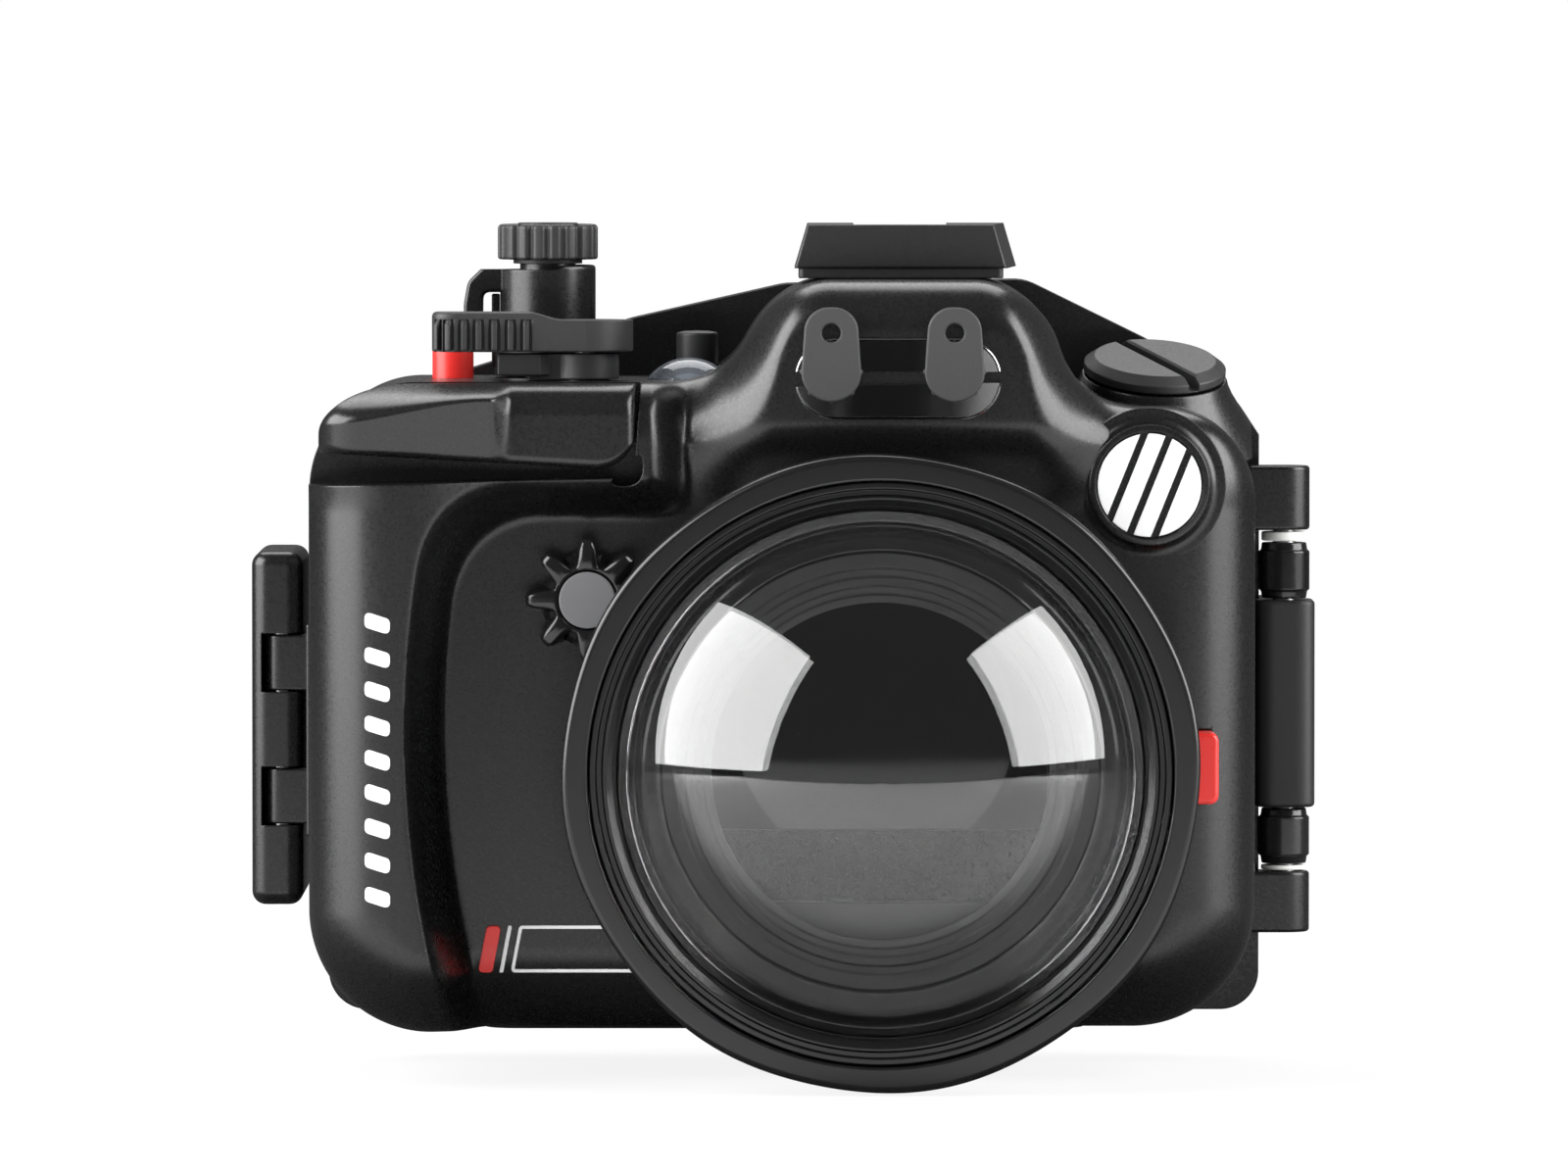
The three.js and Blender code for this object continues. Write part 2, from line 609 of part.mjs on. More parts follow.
// The sculpted finger shelf: scooped on the left, flat on the right.
function shelfDepth(x, z) {
  const ridge = shelf.ridgeLow + (shelf.ridgeHigh - shelf.ridgeLow) * step(shelf.left, shelf.ridgeX, x);
  const above = Math.max(z - ridge, 0) / (shelf.top - ridge + fit);
  const below = Math.max(ridge - z, 0) * shelf.undercut;
  const left = shelf.scoopY + below + (faceY - shelf.scoopY - fit) * above * above;
  const brimUp = Math.max(z - shelf.top + shelf.brim, 0);
  const right = shelf.flatY + shelf.brim - Math.sqrt(Math.max(shelf.brim ** 2 - brimUp ** 2, 0));
  const mixed = left + (right - left) * step(shelf.ridgeX, shelf.ridgeX + shelf.ridgeRun, x);
  const fromEnd = Math.max(edgeRound / 2 - (x - shelf.left), 0);
  return mixed + edgeRound / 2 - Math.sqrt(Math.max((edgeRound / 2) ** 2 - fromEnd ** 2, 0));
}

function shelfLow(x) {
  const along = (x - shelf.left) / (shelf.right - shelf.left);
  const fromCorner = Math.max(x - shelf.right + shelf.corner, 0);
  const corner = shelf.corner - Math.sqrt(Math.max(shelf.corner ** 2 - fromCorner ** 2, 0));
  return shelf.lowLeft + (shelf.lowRight - shelf.lowLeft) * along + corner;
}

function shelfHigh(x) {
  const fromEnd = Math.max(shelf.left + shelf.topRound - x, 0);
  const drop = (shelf.top - shelf.endZ - shelf.corner / 2) / shelf.topRound;
  return shelf.top - drop * (shelf.topRound - Math.sqrt(Math.max(shelf.topRound ** 2 - fromEnd ** 2, 0)));
}

place('grip_shelf', facedBlock({
  x0: shelf.left,
  x1: shelf.right,
  columns: 18,
  rows: 8,
  low: shelfLow,
  high: shelfHigh,
  front: shelfDepth,
  back: () => shelf.floorY - fit,
}), 'paint');

// Base plate with two screws and two threaded mounting holes
function basePiece() {
  const { halfX, halfY, thick, corner, headRadius, headDeep } = basePlate;
  const plate = prismZ(roundedRect(-halfX, halfX, -halfY, halfY, corner), 0, thick);
  const screwHoles = [-baseScrew.x, baseScrew.x].map((x) => join(
    rod('z', baseScrew.radius + fit, -overrun, thick + overrun, [x, baseScrew.y, 0]),
    rod('z', headRadius + fit, -overrun, headDeep + baseScrew.recess + fit, [x, baseScrew.y, 0]),
  ));
  const threads = [-halfX / 2, halfX / 2].map((x) => rod('z', halfY / 7, -overrun, thick - fit, [x, 0, 0]));
  return cut(plate, ...screwHoles, ...threads);
}

place('base_plate', basePiece(), 'polymer');
[['left', -baseScrew.x], ['right', baseScrew.x]].forEach(([side, x]) => {
  const { headRadius, headDeep, thick } = basePlate;
  const head = rod('z', headRadius, baseScrew.recess, baseScrew.recess + headDeep, [x, baseScrew.y, 0]);
  const shank = rod('z', baseScrew.radius, headDeep, thick + baseScrew.reach, [x, baseScrew.y, 0]);
  place(`base_screw_${side}`, join(head, shank), 'steel');
});

// Bayonet ring in the shell, with three slots for the port's lugs
const lugHalfDegrees = 16;
const lugDegrees = [90, 210, 330];
const slotDegrees = 40;         // how far the port turns from its slots to its locked place
const lugHalfAngle = THREE.MathUtils.degToRad(lugHalfDegrees);
const lugAngles = lugDegrees.map(THREE.MathUtils.degToRad);

function sectorY(inner, outer, middle, half, y0, y1) {
  const shape = new THREE.Shape();
  shape.absarc(portX, portZ, outer, middle - half, middle + half);
  shape.absarc(portX, portZ, inner, middle + half, middle - half, true);
  return prismY(shape, y0, y1);
}

const ringBackY = portSeatY + mountRing.deep;
const slotTurn = THREE.MathUtils.degToRad(slotDegrees);
const mountBody = turned('y', [
  [portNeck + fit, portSeatY], [mountRing.outer, portSeatY], [mountRing.outer, ringBackY], [portNeck + fit,
    ringBackY],
], [portX, 0, portZ], seg.fine);
place('port_mount_ring', cut(mountBody, ...lugAngles.map((angle) => sectorY(portNeck - fit,
  mountRing.lug + fit,
  angle + slotTurn, lugHalfAngle * mountRing.slack, portSeatY - overrun, ringBackY + overrun))), 'paint');

// Clear flash window with two sockets for fibre cables
function flashWindow() {
  const shape = roundedRect(flash.left, flash.right, flash.low, flash.high,
    (flash.high - flash.low) / 2 - fit);
  const plate = prismY(shape, flash.frontY, flash.floorY - fit, 6);
  return cut(plate, ...fibre.xs.map((x) => rod('y', fibre.stem + fit, flash.frontY - overrun,
    flash.frontY + fibre.stemIn + fit, [x, 0, fibre.z])));
}

place('flash_window', flashWindow(), 'clear');

fibre.xs.forEach((x, n) => {
  const back = flash.frontY - fit;
  const stem = rod('y', fibre.stem, back - fit, flash.frontY + fibre.stemIn, [x, 0, fibre.z]);
  const cap = turned('y', [[0, back], [fibre.cap - fit, back], [fibre.cap, back - fit], [fibre.cap,
    fibre.capY + fit],
    [fibre.cap - 2 * fit, fibre.capY], [0, fibre.capY]], [x, 0, fibre.z]);
  const tab = roundedRect(x - fibre.tabHalf, x + fibre.tabHalf, fibre.z, fibre.tabTop, fibre.tabHalf - fit);
  const flap = prismY(tab, fibre.capY, fibre.capY + fibre.tabThick);
  const hole = rod('y', fibre.tabHole, fibre.capY - overrun, fibre.capY + fibre.tabThick + overrun,
    [x, 0, fibre.tabTop - fibre.holeDrop]);
  place(`fibre_plug_${n === 0 ? 'left' : 'right'}`, join(cut(flap, hole), cap, stem), 'rubber');
});

// Zoom knob on the front, with its light cap disc and the pinion that it turns
const zoomAt = [zoom.x, 0, zoom.z];

function starKnob() {
  const shape = new THREE.Shape();
  const points = zoom.lobes * 6;
  const tip = (angle) => Math.max(Math.cos(angle * zoom.lobes), 0) ** 2;
  for (let i = 0; i < points; i += 1) {
    const angle = (i / points) * 2 * Math.PI;
    const radius = zoom.hub + (zoom.lobe - zoom.hub) * tip(angle);
    const [px, pz] = [zoom.x + radius * Math.cos(angle), zoom.z + radius * Math.sin(angle)];
    if (i === 0) shape.moveTo(px, pz);
    else shape.lineTo(px, pz);
  }
  const body = prismY(shape, zoom.frontY + zoom.discThick, zoom.backY);
  const recess = rod('y', zoom.disc + fit, zoom.frontY - overrun, zoom.frontY + 2 * zoom.discThick, zoomAt);
  return cut(body, recess, rod('y', zoom.shaft - fit, zoom.frontY, zoom.backY + overrun, zoomAt));
}

place('zoom_knob', starKnob(), 'polymer');
place('zoom_knob_disc', rod('y', zoom.disc, zoom.frontY, zoom.frontY + 2 * zoom.discThick - fit, zoomAt,
  seg.round),
  'disc');

function pinion() {
  const shape = new THREE.Shape();
  const { teeth } = zoom;
  for (let i = 0; i < 2 * teeth; i += 1) {
    const angle = (i / teeth) * Math.PI;
    const radius = i % 2 === 0 ? zoom.gear : zoom.gear - zoom.toothDeep;
    const spot = [zoom.x + radius * Math.cos(angle), zoom.z + radius * Math.sin(angle)];
    if (i === 0) shape.moveTo(...spot);
    else shape.lineTo(...spot);
  }
  const wheel = prismY(shape, zoom.innerY - zoom.gearThick, zoom.innerY);
  const thin = zoom.shaft - 2 * fit;
  const start = zoom.frontY + 2 * zoom.discThick + fit;
  return join(wheel, rod('y', thin, start, zoom.innerY + overrun, zoomAt));
}

place('zoom_shaft', pinion(), 'steel');

// Printed badge disc on its land
place('badge_disc', rod('y', badge.radius, badge.bossY, badge.bossY + badge.thick - fit, [badge.x, 0,
  badge.z],
  seg.round), 'white');

// Port lock slide beside the port
place('port_lock', prismY(roundedRect(lock.left, lock.right, lock.low, lock.high, lock.corner), lock.frontY,
  lock.backY), 'red');

// Vacuum plug in its tilted boss
function vacuumPlug() {
  const { radius, thick, chamfer, slot, slotDeep, slotTurn, spigot, spigotDeep } = plug;
  const head = turned('z', [[0, 0], [radius - fit, 0], [radius, fit], [radius, thick - chamfer],
    [radius - chamfer, thick], [0, thick]], [0, 0, 0], 32);
  const stem = rod('z', spigot, -spigotDeep, fit, [0, 0, 0], seg.round);
  const groove = new THREE.BoxGeometry(2 * (radius + overrun), slot, 2 * slotDeep);
  groove.rotateZ(THREE.MathUtils.degToRad(slotTurn)).translate(0, 0, thick);
  return tilted(cut(join(head, stem), solid(groove)));
}

place('vacuum_plug', vacuumPlug(), 'polymer');

// Shutter lever, its bush, shaft and inner finger
function leverOutline() {
  const shape = new THREE.Shape();
  const half = (lever.backY - lever.frontY) / 2;
  const start = Math.asin((lever.backY - lever.y) / lever.hub);
  shape.moveTo(lever.left + half, lever.frontY);
  shape.lineTo(lever.x, lever.y - lever.hub);
  shape.absarc(lever.x, lever.y, lever.hub, -Math.PI / 2, Math.PI - start);
  shape.lineTo(lever.left + half / 2, lever.backY);
  shape.absarc(lever.left + half / 2, lever.backY - half / 2, half / 2, Math.PI / 2, Math.PI);
  shape.lineTo(lever.left, lever.frontY + half);
  shape.absarc(lever.left + half, lever.frontY + half, half, Math.PI, 1.5 * Math.PI);
  return shape;
}

function shutterLever() {
  const body = prismZ(leverOutline(), lever.low, lever.armTop, 5);
  const over = new THREE.Shape();
  over.moveTo(lever.curveRight, lever.hubTop);
  over.bezierCurveTo((lever.curveLeft + lever.curveRight) / 2, lever.hubTop,
    (lever.curveLeft + lever.curveRight) / 2, lever.armTop, lever.curveLeft, lever.armTop);
  over.lineTo(lever.curveLeft, lever.armTop + overrun);
  over.lineTo(lever.x + 2 * lever.hub, lever.armTop + overrun);
  over.lineTo(lever.x + 2 * lever.hub, lever.hubTop);
  const reach = 2 * lever.hub;
  const slope = prismY(over, lever.y - reach, lever.y + reach, 5);
  const disc = rod('z', lever.cap, lever.hubTop - fit, lever.capTop, [lever.x, lever.y, 0], 24);
  const shaftHole = rod('z', lever.shaft, lever.low - overrun, lever.hubTop - overrun / 2, [lever.x,
    lever.y, 0]);
  const grooves = [];
  for (let i = 0; i < lever.ribs; i += 1) {
    const x = lever.left + lever.ribPitch * (i + 1) + lever.ribDeep;
    grooves.push(block(x, x + lever.ribPitch / 2, lever.frontY - overrun, lever.frontY + lever.ribDeep,
      lever.low - overrun, lever.armTop - lever.ribDeep));
  }
  return cut(join(cut(body, slope), disc), shaftHole, ...grooves);
}

place('shutter_lever', shutterLever(), 'polymer');

function shutterBush() {
  const at = [lever.x, lever.y, 0];
  const stand = rod('z', lever.bush, deckLeft + fit, lever.low - fit, at, 24);
  const spigot = rod('z', lever.spigot, cavityTop, deckLeft + overrun, at);
  const rest = block(lever.stopLeft, lever.stopRight, lever.y - lever.bush, lever.y + lever.spigot,
    deckLeft + overrun, lever.low - fit);
  const web = block(lever.stopRight - overrun, lever.x, lever.y - lever.spigot, lever.y + lever.spigot,
    deckLeft + fit, lever.low - fit);
  return cut(join(stand, spigot, rest, web), rod('z', lever.bore, cavityTop - overrun, lever.low + overrun,
    at));
}

place('shutter_bush', shutterBush(), 'polymer');

function shutterShaft() {
  const at = [lever.x, lever.y, 0];
  const shaft = rod('z', lever.shaft - fit, lever.fingerLow, lever.hubTop - overrun, at);
  const finger = block(lever.x - lever.fingerReach, lever.x, lever.y - lever.shaft, lever.y + lever.shaft,
    lever.fingerLow, lever.fingerHigh);
  return join(shaft, rod('z', 2 * lever.shaft, lever.fingerLow, lever.fingerHigh, at), finger);
}

place('shutter_shaft', shutterShaft(), 'steel');

// Mode dial: a fixed turret, a ribbed knob on top and a friction wheel inside
const turretAt = [turret.x, turret.y, 0];

function dialTurret() {
  const foot = rod('z', turret.base, deckLeft + fit, turret.baseTop, turretAt, seg.round);
  const neck = rod('z', turret.neck, turret.baseTop, turret.neckTop, turretAt, 24);
  const spigot = rod('z', turret.spigot, cavityTop, deckLeft + overrun, turretAt, 24);
  return cut(join(foot, neck, spigot), rod('z', turret.bore, cavityTop - overrun, turret.neckTop + overrun,
    turretAt));
}

place('dial_turret', dialTurret(), 'paint');

function ribbedOutline(x, y, radius, ribs, depth) {
  const shape = new THREE.Shape();
  for (let i = 0; i < 4 * ribs; i += 1) {
    const angle = (i / (2 * ribs)) * Math.PI;
    const out = i % 4 < 2 ? radius : radius - depth;
    const spot = [x + out * Math.cos(angle), y + out * Math.sin(angle)];
    if (i === 0) shape.moveTo(...spot);
    else shape.lineTo(...spot);
  }
  return shape;
}

const ribDepth = dial.radius / 12;
place('mode_knob', cut(
  prismZ(ribbedOutline(turret.x, turret.y, dial.radius, dial.ribs, ribDepth), dial.low, dial.high),
  rod('z', dial.shaft + fit, dial.low - overrun, dial.high - overrun, turretAt),
), 'polymer');
place('mode_shaft', join(
  rod('z', dial.shaft, dial.wheelLow, dial.high - overrun - fit, turretAt),
  rod('z', dial.wheel, dial.wheelLow, dial.wheelHigh, turretAt, 24),
), 'steel');

// Power lever: a collar round the turret's neck with a bent finger arm
const power = { low: turret.baseTop + fit, high: turret.neckTop - 2 * fit, armOut: 15.1, armHalf: 2.6,
  armDrop: 11, armThick: 3, bend: 5.5, barDeep: 5 };

function powerLever() {
  const collar = rod('z', turret.radius, power.low, power.high, turretAt, 32);
  const tip = turret.x - power.armOut;
  const inner = tip + power.armThick;
  const under = power.high - power.barDeep;
  const tipLow = power.high - power.armDrop;
  const arm = outline([
    [turret.x, power.high], [tip + power.bend, power.high], [tip, power.high - power.bend], [tip, tipLow],
    [inner, tipLow], [inner, under - power.armThick], [inner + power.armThick / 2, under], [turret.x, under],
  ]);
  const bar = prismY(arm, turret.y - power.armHalf, turret.y + power.armHalf);
  return cut(join(collar, bar), rod('z', turret.neck + fit, power.low - overrun, power.high + overrun,
    turretAt, 24));
}

place('power_lever', powerLever(), 'paint');

// Push buttons in the deck
function deckButton({ x, y, radius, low, high, stem }) {
  const rim = radius / 9;
  const cap = turned('z', [[0, low], [radius, low], [radius, high - rim], [radius - rim, high], [0, high]],
    [x, y, 0], 24);
  return join(cap, rod('z', stem, cavityTop - wall, low + fit, [x, y, 0]));
}

place('video_button', deckButton(videoButton), 'red');
place('top_button', deckButton(topButton), 'polymer');

// Status light: clear domed lens over a lamp on the alarm board
function statusLens() {
  const { radius, rise, seat, rim } = status;
  const steps = 6;
  const profile = [[0, seat], [radius, seat], [radius, deckLeft + fit]];
  const domeR = (radius ** 2 + rise ** 2) / (2 * rise);
  for (let i = 1; i < steps; i += 1) {
    const r = radius * Math.cos((i / steps) * Math.PI / 2);
    profile.push([r, deckLeft + rise - domeR + Math.sqrt(domeR ** 2 - r ** 2)]);
  }
  profile.push([0, deckLeft + rise]);
  const hollow = rod('z', status.bead + fit, seat - overrun, seat + rim, [status.x, status.y, 0]);
  return cut(turned('z', profile, [status.x, status.y, 0]), hollow);
}

place('status_lens', statusLens(), 'clear');
const boardTop = cavityTop - fit;
const boardLow = boardTop - alarm.thick;
place('status_lamp', rod('z', status.bead, boardTop + fit, status.seat + status.rim - fit, [status.x,
  status.y, 0]),
  'white');
place('alarm_board', join(
  block(alarm.left, alarm.right, alarm.frontY, alarm.backY, boardLow, boardTop),
  rod('z', alarm.cell, boardLow - alarm.cellThick, boardTop, [alarm.cellX, alarm.cellY, 0], 24),
), 'board');
place('moisture_sensor', block(sensor.left, sensor.right, sensor.frontY, sensor.backY, cavityBottom + fit,
  cavityBottom + fit + sensor.high), 'board');

// Cold shoe on the hump, with its two screws
const shoeX = (shoe.left + shoe.right) / 2;

function coldShoe() {
  const { left, right, topInset, footTop, top, frontY, backY } = shoe;
  const side = outline([[left, footTop], [right, footTop], [right - topInset, top], [left + topInset, top]]);
  const wings = prismY(side, frontY, backY);
  const flareShape = outline([
    [shoeX, frontY], [right, frontY], [shoe.rearRight, backY], [shoeX, backY],
  ]);
  const flareSide = outline([
    [shoeX, footTop], [shoe.rearRight, footTop], [shoe.rearRight - topInset, top], [shoeX, top],
  ]);
  const flare = prismZ(flareShape, footTop, top).intersect(prismY(flareSide, frontY, backY));
  const foot = block(left + shoe.footInset, right - shoe.footInset, frontY + fit, backY, humpTop + fit,
    footTop + fit);
  const slot = block(shoeX - shoe.slotHalf, shoeX + shoe.slotHalf, frontY + shoe.frontWall, backY + overrun,
    shoe.floor, top + overrun);
  const under = block(shoeX - shoe.slotHalf - shoe.railUnder, shoeX + shoe.slotHalf + shoe.railUnder,
    frontY + shoe.frontWall, backY + overrun, shoe.floor, shoe.railLow);
  const holes = shoe.screwY.map((y) => rod('z', shoe.screw + fit, humpTop, shoe.floor + overrun, [shoeX, y,
    0]));
  return cut(join(wings, flare, foot), slot, under, ...holes);
}

place('cold_shoe', coldShoe(), 'paint');
shoe.screwY.forEach((y, n) => {
  const shank = rod('z', shoe.screw, humpTop - shoe.grip, shoe.floor + fit + overrun / 10, [shoeX, y, 0]);
  const head = rod('z', shoe.head, shoe.floor + fit, shoe.floor + fit + shoe.headHigh, [shoeX, y, 0]);
  place(`shoe_screw_${n === 0 ? 'front' : 'rear'}`, join(shank, head), 'steel');
});

// Tray that the camera is screwed to
const trayLow = cavityBottom + fit;

function cameraTray() {
  const { half, frontY, backY, thick, lip, lipHigh, screwX, screwY, head, headThick, shank } = tray;
  const plate = block(-half, half, frontY, backY, trayLow, trayLow + thick);
  const stop = block(-half, half, frontY, frontY + lip, trayLow, trayLow + thick + lipHigh);
  return cut(join(plate, stop),
    rod('z', head + fit, trayLow - overrun, trayLow + headThick + 2 * fit, [screwX, screwY, 0], seg.round),
    rod('z', shank + fit, trayLow, trayLow + thick + overrun, [screwX, screwY, 0]));
}

place('camera_tray', cameraTray(), 'polymer');
place('tray_screw', join(
  rod('z', tray.head, trayLow + fit, trayLow + tray.headThick, [tray.screwX, tray.screwY, 0], seg.round),
  rod('z', tray.shank, trayLow + fit, tray.screwTop, [tray.screwX, tray.screwY, 0]),
), 'steel');

// Port: body with grip scallops, dome, clamp ring, seals and inner baffle
const portAt = [portX, 0, portZ];
const port = {
  seatOuter: 46, waistY: -47, baffle: 29.4, baffleThick: 1.4, baffleLip: 2, clampSlope: 1.6, clampFall: 1,
  scallopShift: 0.25, scallopBack: 15, scallopSpare: 1.2, flareY: -51.5, flareOuter: 52, shoulderY: -56.5,
    chamfer: 0.9, faceInner: 51.6,
  recessY: -63.6, clampInner: 47, ledgeY: -60.4, mouth: 44.6, throatY: -56.4, throat: 38, neckEndY: -30.8,
  sealY: -37.6, sealHalf: 1.3, sealDeep: 2, scallops: 8, scallopDeep: 0.9,
  ringR: 49.4, ringHalf: 0.9, ringDeep: 1.4,
};

function portBody() {
  const p = port;
  const body = turned('y', [
    [portBore, p.neckEndY], [portNeck, p.neckEndY],
    [portNeck, p.sealY + p.sealHalf], [portNeck - p.sealDeep, p.sealY + p.sealHalf],
    [portNeck - p.sealDeep, p.sealY - p.sealHalf], [portNeck, p.sealY - p.sealHalf],
    [portNeck, portSeatY - fit], [p.seatOuter, portSeatY - fit], [p.seatOuter, p.waistY],
    [p.flareOuter, p.flareY], [portOuter, p.shoulderY], [portOuter, portFrontY + p.chamfer],
    [portOuter - p.chamfer, portFrontY], [p.faceInner, portFrontY], [p.faceInner, p.ledgeY],
    [p.ringR + p.ringHalf, p.ledgeY], [p.ringR + p.ringHalf, p.ledgeY + p.ringDeep],
    [p.ringR - p.ringHalf, p.ledgeY + p.ringDeep], [p.ringR - p.ringHalf, p.ledgeY],
    [p.clampInner + fit, p.ledgeY], [p.clampInner + fit, domeSeatY], [p.mouth, domeSeatY],
    [p.mouth - wall / 2, p.throatY], [p.throat, p.throatY], [p.throat, p.throatY + wall],
    [portBore, p.throatY + 2 * wall],
  ], portAt, seg.fine);
  const lugs = lugAngles.map((angle) => sectorY(portNeck - wall / 2, mountRing.lug - fit, angle, lugHalfAngle,
    ringBackY + fit, ringBackY + fit + mountRing.lugDeep));
  const scallop = 2 * Math.sqrt(2 * portOuter * p.scallopDeep);
  const cuts = [];
  for (let i = 0; i < p.scallops; i += 1) {
    const flat = new THREE.BoxGeometry(2 * p.scallopDeep, -2 * portFrontY, scallop * p.scallopSpare);
    flat.translate(portOuter, 0, 0).rotateY(((i + p.scallopShift) / p.scallops) * 2 * Math.PI);
    flat.translate(portX, 2 * portFrontY + p.scallopBack, portZ);
    cuts.push(solid(flat));
  }
  return cut(join(body, ...lugs), ...cuts);
}

place('port_body', portBody(), 'paint');

const domeCentreY = domeSeatY - 2 * fit + Math.sqrt(domeRadius ** 2 - domeBaseRadius ** 2) - 1;

function arcPoints(radius, from, to, steps) {
  const points = [];
  for (let i = 0; i <= steps; i += 1) {
    const angle = from + (to - from) * (i / steps);
    points.push([radius * Math.sin(angle), domeCentreY - radius * Math.cos(angle)]);
  }
  points[0][0] = from === 0 ? 0 : points[0][0];
  points[steps][0] = to === 0 ? 0 : points[steps][0];
  return points;
}

function domeGlass() {
  const inner = domeRadius - domeWall;
  const outerEdge = Math.asin(domeBaseRadius / domeRadius);
  const innerBase = domeBaseRadius - domeWall;
  const innerEdge = Math.asin(innerBase / inner);
  const base = domeSeatY - fit;
  return turned('y', [
    ...arcPoints(domeRadius, 0, outerEdge, 6), [domeBaseRadius, base], [innerBase, base],
    ...arcPoints(inner, innerEdge, 0, 5),
  ], portAt, seg.fine);
}

place('dome', domeGlass(), 'clear');
place('dome_clamp_ring', turned('y', [
  [port.clampInner, port.ledgeY - fit], [port.faceInner - fit, port.ledgeY - fit],
  [port.faceInner - fit, port.recessY - fit], [port.clampInner + port.clampSlope, port.recessY - fit],
  [port.clampInner, port.recessY + port.clampFall],
], portAt, seg.fine), 'paint');
place('port_oring', ringSeal('y', portNeck - port.sealDeep / 2 + fit / 3, port.sealY,
  port.sealDeep / 2 - 2 * fit / 3,
  portAt), 'seal');
place('dome_oring', ringSeal('y', port.ringR, port.ledgeY + port.ringDeep / 2, port.ringDeep / 2 - fit / 3,
  portAt),
  'seal');
const baffleFrontY = port.throatY + fit;
const baffleBackY = port.throatY + wall - fit;
place('lens_baffle', turned('y', [
  [port.baffle, baffleFrontY], [port.throat - fit, baffleFrontY], [port.throat - fit, baffleBackY],
  [port.throat - port.baffleLip, baffleBackY], [port.throat - port.baffleLip,
    baffleFrontY + port.baffleThick],
  [port.baffle, baffleFrontY + port.baffleThick],
], portAt, seg.fine), 'polymer');

// Rear door and its window, seal and bezel
function doorLow(x) {
  const fromLeft = Math.max(door.left + door.corner - x, 0);
  const fromRight = Math.max(x - door.right + door.corner, 0);
  const into = Math.max(fromLeft, fromRight);
  return door.bottom + door.corner - Math.sqrt(Math.max(door.corner ** 2 - into ** 2, 0));
}

function doorHigh(x) {
  const share = (x - door.left) / (door.right - door.left);
  const roof = door.roofShares;
  const n = Math.min(Math.max(roof.findIndex(([end]) => end >= share), 1), roof.length - 1);
  const [[x0, z0], [x1, z1]] = [roof[n - 1], roof[n]];
  return door.roofTop * (z0 + (z1 - z0) * Math.min(Math.max((share - x0) / (x1 - x0), 0), 1));
}

function doorBack(x, z) {
  const inside = Math.max(Math.min(x - door.left, door.right - x, z - doorLow(x), doorHigh(x) - z), 0);
  const near = Math.max(door.round - inside, 0);
  return doorBackY - door.round + Math.sqrt(Math.max(door.round ** 2 - near ** 2, 0));
}

const doorFrontY = partingY + fit;

function rearShell() {
  const body = facedBlock({
    x0: door.left, x1: door.right, columns: 26, rows: 12, low: doorLow, high: doorHigh,
    front: () => doorFrontY, back: doorBack,
  });
  const innerY = doorBackY - door.backWall;
  const cavity = prismY(roundedRect(-door.cavityHalf, door.cavityHalf, door.cavityLow, door.cavityHigh,
    cavityCorner),
    partingY - overrun, innerY);
  const sight = prismY(roundedRect(screen.left, screen.right, screen.low, screen.high, screen.corner),
    innerY - overrun,
    doorBackY + overrun);
  const seat = prismY(roundedRect(screen.left - screen.lap - fit, screen.right + screen.lap + fit,
    screen.low - screen.lap - fit, screen.high + screen.lap + fit, screen.corner), screen.seatY,
      doorBackY + overrun);
  const reach = seal.thick + fit;
  const track = (grow) => roundedRect(-cavityHalf - seal.inset - grow, cavityHalf + seal.inset + grow,
    seal.bottom - grow, seal.top + grow, seal.corner + grow);
  const groove = cut(prismY(track(reach), partingY - overrun, doorFrontY + 2 * seal.thick + fit),
    prismY(track(-reach), partingY - 2 * overrun, doorFrontY + 2 * seal.thick + overrun));
  const bores = Object.values(rearButtons).map(([x, z]) => rod('y', rearButton.stem + fit, innerY - overrun,
    doorBackY + overrun, [x, 0, z]));
  return cut(body, cavity, sight, seat, groove, ...bores);
}

place('rear_shell', rearShell(), 'paint');
place('main_oring', rectSeal(-cavityHalf - seal.inset, cavityHalf + seal.inset, seal.bottom, seal.top,
  seal.corner,
  doorFrontY + seal.thick, seal.thick, 3), 'seal');
place('screen_window', prismY(roundedRect(screen.left - screen.lap, screen.right + screen.lap,
  screen.low - screen.lap,
  screen.high + screen.lap, screen.corner - fit), screen.seatY + fit, screen.seatY + fit + screen.thick),
    'clear');

function windowBezel() {
  const frame = prismY(roundedRect(screen.left - screen.bezelLap, screen.right + screen.bezelLap,
    screen.low - screen.bezelLap, screen.high + screen.bezelLap, 2 * screen.corner), doorBackY + fit,
  doorBackY + fit + screen.bezelThick);
  return cut(frame, prismY(roundedRect(screen.left, screen.right, screen.low, screen.high, screen.corner),
    doorBackY - overrun, doorBackY + screen.bezelThick + overrun));
}

place('window_bezel', windowBezel(), 'polymer');

// Rear push buttons and the dial round the middle one
Object.entries(rearButtons).forEach(([name, [x, z]]) => {
  const head = turned('y', [[0, doorBackY + rearButton.travel + 2 * fit], [rearButton.radius,
    doorBackY + rearButton.travel + 2 * fit], [rearButton.radius, rearButton.outY - fit],
  [rearButton.radius - 2 * fit, rearButton.outY], [0, rearButton.outY]], [x, 0, z], 20);
  const stem = rod('y', rearButton.stem, rearButton.innerY, rearButton.outY - fit, [x, 0, z]);
  place(name, join(head, stem), 'polymer');
});

const [setX, setZ] = rearButtons.set_button;
place('rear_dial', cut(
  prismY(ribbedOutline(setX, setZ, rearDial.radius, rearDial.ribs, ribDepth), doorBackY + fit,
    doorBackY + fit + rearDial.thick),
  rod('y', rearDial.bore, doorBackY - overrun, rearButton.outY + overrun, [setX, 0, setZ], seg.round),
), 'polymer');

